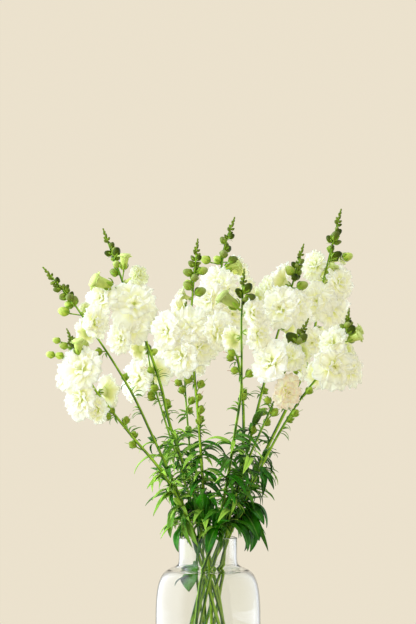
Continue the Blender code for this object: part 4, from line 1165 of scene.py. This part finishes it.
class StemGrowth:
    # where the blooms, leaves and buds of a stem stand, and the lines of its stalks
    def __init__(self, name):
        self.name, self.stem, self.route = name, stems[name], routes[name]
        self.rng = np.random.default_rng(sorted(stems).index(name) + stemSettings["seed"])
        self.blooms, self.leaves, self.buds = [], [], []
        full = stemSettings["full"]
        self.lines = [[(point, full * stemRadius(self.stem, point.z)) for point in self.route]]
        for number, (kind, share, place) in enumerate(growth[name]):
            out, height = place.col[2].to_3d().normalized(), place.to_translation().z
            azimuth = degrees(atan2(out.y, out.x))
            if kind.startswith("floret"):
                self.flower(number, share, place, height, out, azimuth, int(kind.split("_")[1]) * mm)
            elif kind == "bud":
                self.bud(number, share, place, height, azimuth)
            elif kind == "pod":
                self.pod(number, place, height, azimuth)
            else:
                self.leaf(number, kind, place, height, azimuth)
        self.frontLeaves()
        self.youngBuds()
        self.leafyShoots()
        self.spike()

    def tuft(self, number, height, azimuth, lift, size, young, widen=1.0):
        spot = placeOn(self.route, height, azimuth, lift, size) @ Matrix.Diagonal((widen, 1, 1, 1))
        self.leaves.append((leafKinds["tuft", number], spot, young, 0.0))

    def flower(self, number, share, place, height, out, azimuth, longer):
        size = place.to_scale().x
        pick = cuppedBloom
        if size >= headSettings["cupped"]:
            pick = (number + self.rng.integers(0, openBlooms)) % openBlooms
        smaller = headSettings["young"] - size
        young = clamped(headSettings["faster"] * smaller + headSettings["higher"] * share)
        roll = Matrix.Rotation(radians(self.rng.choice(headSettings["rolls"])), 4, "Z")
        withers = self.name == witheredFlower["stem"] and share == witheredFlower["share"]
        dry = witheredFlower["dry"] if withers else 0.0
        start, end = headSettings["tube"][0] * mm, headSettings["tube"][1] * mm + longer
        head = Matrix.Translation((0, 0, end)) @ headTurn(place, out)
        head = head @ Matrix.Translation((0, 0, longer - end)) @ Matrix.Scale(headSettings["fuller"], 4)
        tube = Matrix.Translation((0, 0, start)) @ Matrix.Diagonal((1, 1, end - start, 1))
        self.blooms.append((pick, place @ head @ roll, young, dry))
        self.blooms.append((bloomTube, place @ tube, young, dry))
        self.buds.append((calyx, place, 0.0, 0.0))
        tuft = tufts["flower"]
        self.tuft(1, height + tuft["up"] * mm, azimuth, tuft["lift"], tuft["size"] * size, tuft["young"])

    def bud(self, number, share, place, height, azimuth):
        opening = share == 0 and self.name in openingStems
        uneven = spikeSettings["vary"] * (goldenAngle * number / 360 % 1 - 0.5)
        tight = 0.0 if opening else clamped(spikeSettings["tight"] + share + uneven)
        self.buds.append((openingBud if opening else number % 2, place, tight, 0.0))
        tuft = tufts["bud"]
        self.tuft(1, height + tuft["up"] * mm, azimuth, tuft["lift"], tuft["size"], tuft["young"])

    def pod(self, number, place, height, azimuth):
        bigger = place @ Matrix.Scale(podGrowth["size"], 4)
        self.buds.append((firstPod + number % 2, bigger, podGrowth["young"], 0.0))
        tuft = tufts["pod"]
        for side in podGrowth["sides"]:
            size = self.rng.uniform(*tuft["size"])
            self.tuft(2, height + tuft["up"] * mm, azimuth + side, tuft["lift"], size, tuft["young"])

    def leaf(self, number, kind, place, height, azimuth):
        young = leafYouthAndSideLight(self.rng, place) * kind.startswith("narrow")
        self.leaves.append((leafKinds[kind, 1 + number % 2], place, young, 0.0))
        tuft = tufts["leaf"]
        for k in range(tuft["count"]):
            turn = azimuth + self.rng.uniform(-1, 1) * tuft["spread"]
            lift, size = self.rng.uniform(*tuft["lift"]), self.rng.uniform(*tuft["size"])
            young = leafYouthAndSideLight(self.rng, place)
            self.tuft(1 + (number + k) % 3, height + tuft["up"] * mm, turn, lift, size, young)

    def frontLeaves(self):
        for height, tip, width, droop, young, azimuth, elevation in aimedLeaves.get(self.name, []):
            broad = width > aimedSettings["broad"]
            shape = "large" if broad else "narrow"
            fullWidth = leafSettings["largeWidth" if broad else "width"] * aimedSettings["fuller"]
            spot = aimedPlace(self.route, height, tip, width, droop, azimuth, elevation, fullWidth)
            self.leaves.append((leafKinds[f"{shape}_{droop}", 1], spot, young, 0.0))
        if self.name == insideLeaf["stem"]:
            placing = [insideLeaf[key] for key in ("azimuth", "lift", "size")]
            spot = placeOn(self.route, insideLeaf["height"] * mm, *placing)
            spot = spot @ Matrix.Diagonal((insideLeaf["widen"], 1, 1, 1))
            self.leaves.append((leafKinds["large_40", 1], spot, insideLeaf["youth"], 0.0))

    def youngBuds(self):
        thick = youngSettings["stalk"] * mm
        for across, height, size, tight, shape in youngGrowth.get(self.name, []):
            root, base, direction, out = youngPlace(self.route, across, height, size, youngKinds[shape])
            side = len(self.buds) % 2
            pick = {"bud": side, "pod": firstPod + side}.get(shape, openingBud)
            self.buds.append((pick, grownPlace(base, direction, out, size), tight, 0.0))
            if (base - root).length > 1 * mm:
                self.lines.append([(root, thick), (base + out * mm, thick)])

    def leafyShoots(self):
        for height, azimuth in shoots.get(self.name, []):
            for k in range(shootSettings["count"]):
                rising = [shootSettings[key] for key in ("lift", "size", "young")]
                lift, size, young = (first + step * k for first, step in rising)
                turn = azimuth + shootSettings["fan"] * (k % 3 - 1)
                rise = (height + shootSettings["step"] * k) * mm
                self.tuft(1 + k % 2, rise, turn, lift, size, young, shootSettings["widen"])

    def spike(self):
        low, high, _, size = self.stem["buds"]
        for i in range(spikeSettings["extra"]):
            share = (i + 0.5) / spikeSettings["extra"]
            height = low + (high - low) * (spikeSettings["start"] + spikeSettings["length"] * share)
            small = size * (spikeSettings["size"][0] * (1 - share) + spikeSettings["size"][1] * share)
            small *= 1 + spikeSettings["uneven"] * self.rng.uniform(-1, 1)
            turn, lift = self.rng.uniform(0, 360), self.rng.uniform(*spikeSettings["lift"])
            longer = Matrix.Diagonal((1, 1, self.rng.uniform(1, spikeSettings["longer"]), 1))
            tight = 1.0 - spikeSettings["paler"] * (goldenAngle * i / 360 % 1)
            spot = placeOn(self.route, height * mm, turn, lift, small) @ longer
            self.buds.append((i % 2, spot, tight, 0.0))
        top = placeOn(self.route, high * mm, 0, spikeSettings["upright"], size)
        self.buds.append((budTip, top, spikeSettings["tip"], 0.0))


counts = {}
for name in stems:
    grown = StemGrowth(name)
    inputs = {"Sides": stemSettings["sides"], "Spacing": stemSettings["spacing"], "Finish": stalkGreen}
    stalk = madeByTree(f"stalk_{name}", linesMesh(grown.lines), stalkAlongLine, inputs)
    pieces = [declared(stalk, f"stem_{name}", "green")]
    for label, places, shelf, finish, node, slotName in (
        ("blooms", grown.blooms, bloomShelf, petalWhite, "flowers", "petals"),
        ("leaves", grown.leaves, leafShelf, leafGreen, "stem", "green"),
        ("buds", grown.buds, budShelf, budGreen, "stem", "green"),
    ):
        inputs = {"Shapes": shelf, "Finish": finish}
        piece = madeByTree(f"{label}_{name}", pointsMesh(places), growOnStem, inputs)
        pieces.append(declared(piece, f"{node}_{name}", slotName))
    counts[name] = sum(len(piece.data.loop_triangles) for piece in pieces)
for shelf in (bloomShelf, leafShelf, budShelf):
    for shape in list(shelf.objects):
        bpy.data.objects.remove(shape)
    bpy.data.collections.remove(shelf)
print("growth made, triangles:", sum(counts.values()), counts)

# Vase and water, in millimetres; outlines are (radius, height)
vaseSettings = dict(outer=60.5, neck=33.5, wall=3, top=210, floor=8, sides=128)
waterSettings = dict(level=84, rise=1.1, overlap=0.05, sides=96)


def curvedOutline(points, perSpan=5):
    return [(point.x, point.y) for point in smoothPoints([Vector(point) for point in points], perSpan)]


def turnedPiece(name, outline, sides, material, node, slotName):
    points, faces, _ = turnedShell(outline, sides, {})
    piece = linked(name, mergedMesh(name, [(points * mm, faces, {})]))
    piece.data.materials.append(material)
    return declared(piece, node, slotName)


def vaseOutline():
    outer, neck, wall, top, floor = (vaseSettings[key] for key in ("outer", "neck", "wall", "top", "floor"))
    inner, throat = outer - wall, neck - wall
    heel = [(0, 1.4), (30, 1.0), (46, 0.1), (52, 0), (57, 1.6), (59.9, 5.2), (outer, 12)]
    shoulder = [(outer, 40), (outer, 80), (outer, 112), (outer - 0.2, 128), (outer - 1.1, 143),
                (outer - 3.3, 156), (outer - 7.6, 166.6), (outer - 13.5, 172.4), (outer - 20, 175.2),
                (neck + 3.4, 176.9), (neck + 0.9, 179.6), (neck, 185)]
    rim = [(neck, 198), (neck, top - 1.6), (neck - 0.5, top - 0.4), (neck - wall / 2, top),
           (throat + 0.5, top - 0.4), (throat, top - 1.6), (throat, 198)]
    inside = [(throat, 187), (throat + 0.6, 181), (neck - 0.4, 176.4), (neck + 2.6, 173.4),
              (outer - 20, 171.4), (outer - 14.5, 168.9), (outer - 9.6, 163.8), (outer - 6, 154.5),
              (inner - 1, 142), (inner - 0.2, 128), (inner, 112), (inner, 80), (inner, 40), (inner, 16),
              (inner - 1, 11), (inner - 4.5, floor + 0.6), (inner - 12, floor), (0, floor)]
    return curvedOutline(heel + shoulder) + curvedOutline(rim) + curvedOutline(inside)


def waterOutline():
    overlap, level = waterSettings["overlap"], waterSettings["level"]
    wide, floor = vaseSettings["outer"] - vaseSettings["wall"] + overlap, vaseSettings["floor"] - overlap
    low = [(0, floor), (wide - 12, floor), (wide - 4.5, floor + 0.6), (wide - 1, 11), (wide, 16), (wide, 50)]
    high = [(wide, level + waterSettings["rise"]), (wide - 0.5, level + 0.5), (wide - 1.8, level),
            (wide - 8, level), (0, level)]
    return curvedOutline(low) + high


turnedPiece("vaseGlass", vaseOutline(), vaseSettings["sides"], vaseGlass, "vase", "clear_glass")
turnedPiece("vaseWater", waterOutline(), waterSettings["sides"], stillWater, "water", "water")
print("vase and water made")

# Floor, backdrop, light and camera
studio = dict(backdrop=(0.835, 0.758, 0.612), floor=(0.62, 0.54, 0.43), roughness=0.8, darker=0.97,
              radius=1.15, thick=0.02, lamp=(0.70, 0.88, 1.0), aim=(0, 0, 0.35))
# fill: what lights rough surfaces; the rest is what clear and glossy ones mirror round the part
surroundings = dict(fill=(0.66, 0.63, 0.585), front=(0.10, 0.10, 0.09), gap=(0.48, 0.46, 0.40),
                    left=(2.05, 2.12, 2.3), right=(1.0, 1.03, 1.09))
lamps = {
    "windowLeft": dict(place=(-1.9, -0.15, 0.75), size=(3.3, 2.6), power=128),
    "windowRight": dict(place=(2.1, 0.1, 0.6), size=(2.4, 2.4), power=14),
    "top": dict(place=(-0.2, -0.6, 2.3), size=(1.6, 1.6), power=22),
}
photoCamera = dict(distance=4.0, height=0.46875, lens=200.7, sensor=36)

paleFloor = Finish("paleFloor", Roughness=studio["roughness"])
darker = tuple(studio["darker"] * part for part in studio["floor"])
paleFloor.colour(paleFloor.group(softMottle, Scale=3.0, Light=studio["floor"], Dark=darker)["Color"])
floorOutline = [(0, -studio["thick"]), (studio["radius"], -studio["thick"]), (studio["radius"], 0), (0, 0)]
floor = linked("floor", mergedMesh("floor", [turnedShell(floorOutline, 96, {})]))
floor.data.shade_flat()
floor.data.materials.append(paleFloor.material)


def surroundingLight(sky):
    # what rays of each kind meet away from the part
    heading = sky.node("ShaderNodeSeparateXYZ", {"Vector": sky.node("ShaderNodeTexCoord")["Generated"]})
    aside, back = heading["X"], heading["Y"]
    frontShare = sky.span(back, -0.75, 0.1, fade="SMOOTHSTEP")
    room = sky.mix(frontShare, surroundings["front"], studio["backdrop"])
    for key, operation, *fades in (
        ("gap", "MAXIMUM", (aside, -0.12, -0.25), (aside, 0.12, 0.25)),
        ("left", "MULTIPLY", (aside, -0.3, -0.6), (back, -0.75, -0.3)),
        ("right", "MULTIPLY", (aside, 0.3, 0.6), (back, -0.3, 0.6)),
    ):
        parts = [sky.span(value, low, high, fade="SMOOTHSTEP") for value, low, high in fades]
        room = sky.mix(sky.join(*parts, operation=operation), room, surroundings[key])
    ray = sky.node("ShaderNodeLightPath")
    mirrored = sky.join(ray["Glossy Depth"], 1.0, operation="MINIMUM")
    mirrored = sky.join(mirrored, ray["Is Diffuse Ray"], operation="SUBTRACT")
    clear = sky.join(ray["Is Transmission Ray"], ray["Is Diffuse Ray"], mirrored, operation="SUBTRACT")
    light = sky.mix(mirrored, surroundings["fill"], room)
    light = sky.mix(clear, light, studio["backdrop"])
    return sky.mix(ray["Is Camera Ray"], light, studio["backdrop"])


world = bpy.data.worlds.new("studio")
bpy.context.scene.world = world
world.use_nodes = True
sky = Bench(world.node_tree)
sky.feed(world.node_tree.nodes["Background"].inputs["Color"], surroundingLight(sky))

for name, lamp in lamps.items():
    light = bpy.data.lights.new(name, "AREA")
    light.shape = "RECTANGLE"
    light.size, light.size_y = lamp["size"]
    light.energy = lamp["power"]
    light.color = studio["lamp"]
    holder = linked(name, light)
    holder.location = lamp["place"]
    toward = Vector(studio["aim"]) - Vector(lamp["place"])
    holder.rotation_euler = toward.to_track_quat("-Z", "Y").to_euler()
    holder.visible_glossy = False
    holder.visible_transmission = False

lens = bpy.data.cameras.new("camera")
lens.lens = photoCamera["lens"]
lens.sensor_width = photoCamera["sensor"]
camera = linked("camera", lens)
camera.location = (0, -photoCamera["distance"], photoCamera["height"])
camera.rotation_euler = (pi / 2, 0, 0)
bpy.context.scene.camera = camera
bpy.context.scene.view_settings.view_transform = "Standard"
print("studio set")
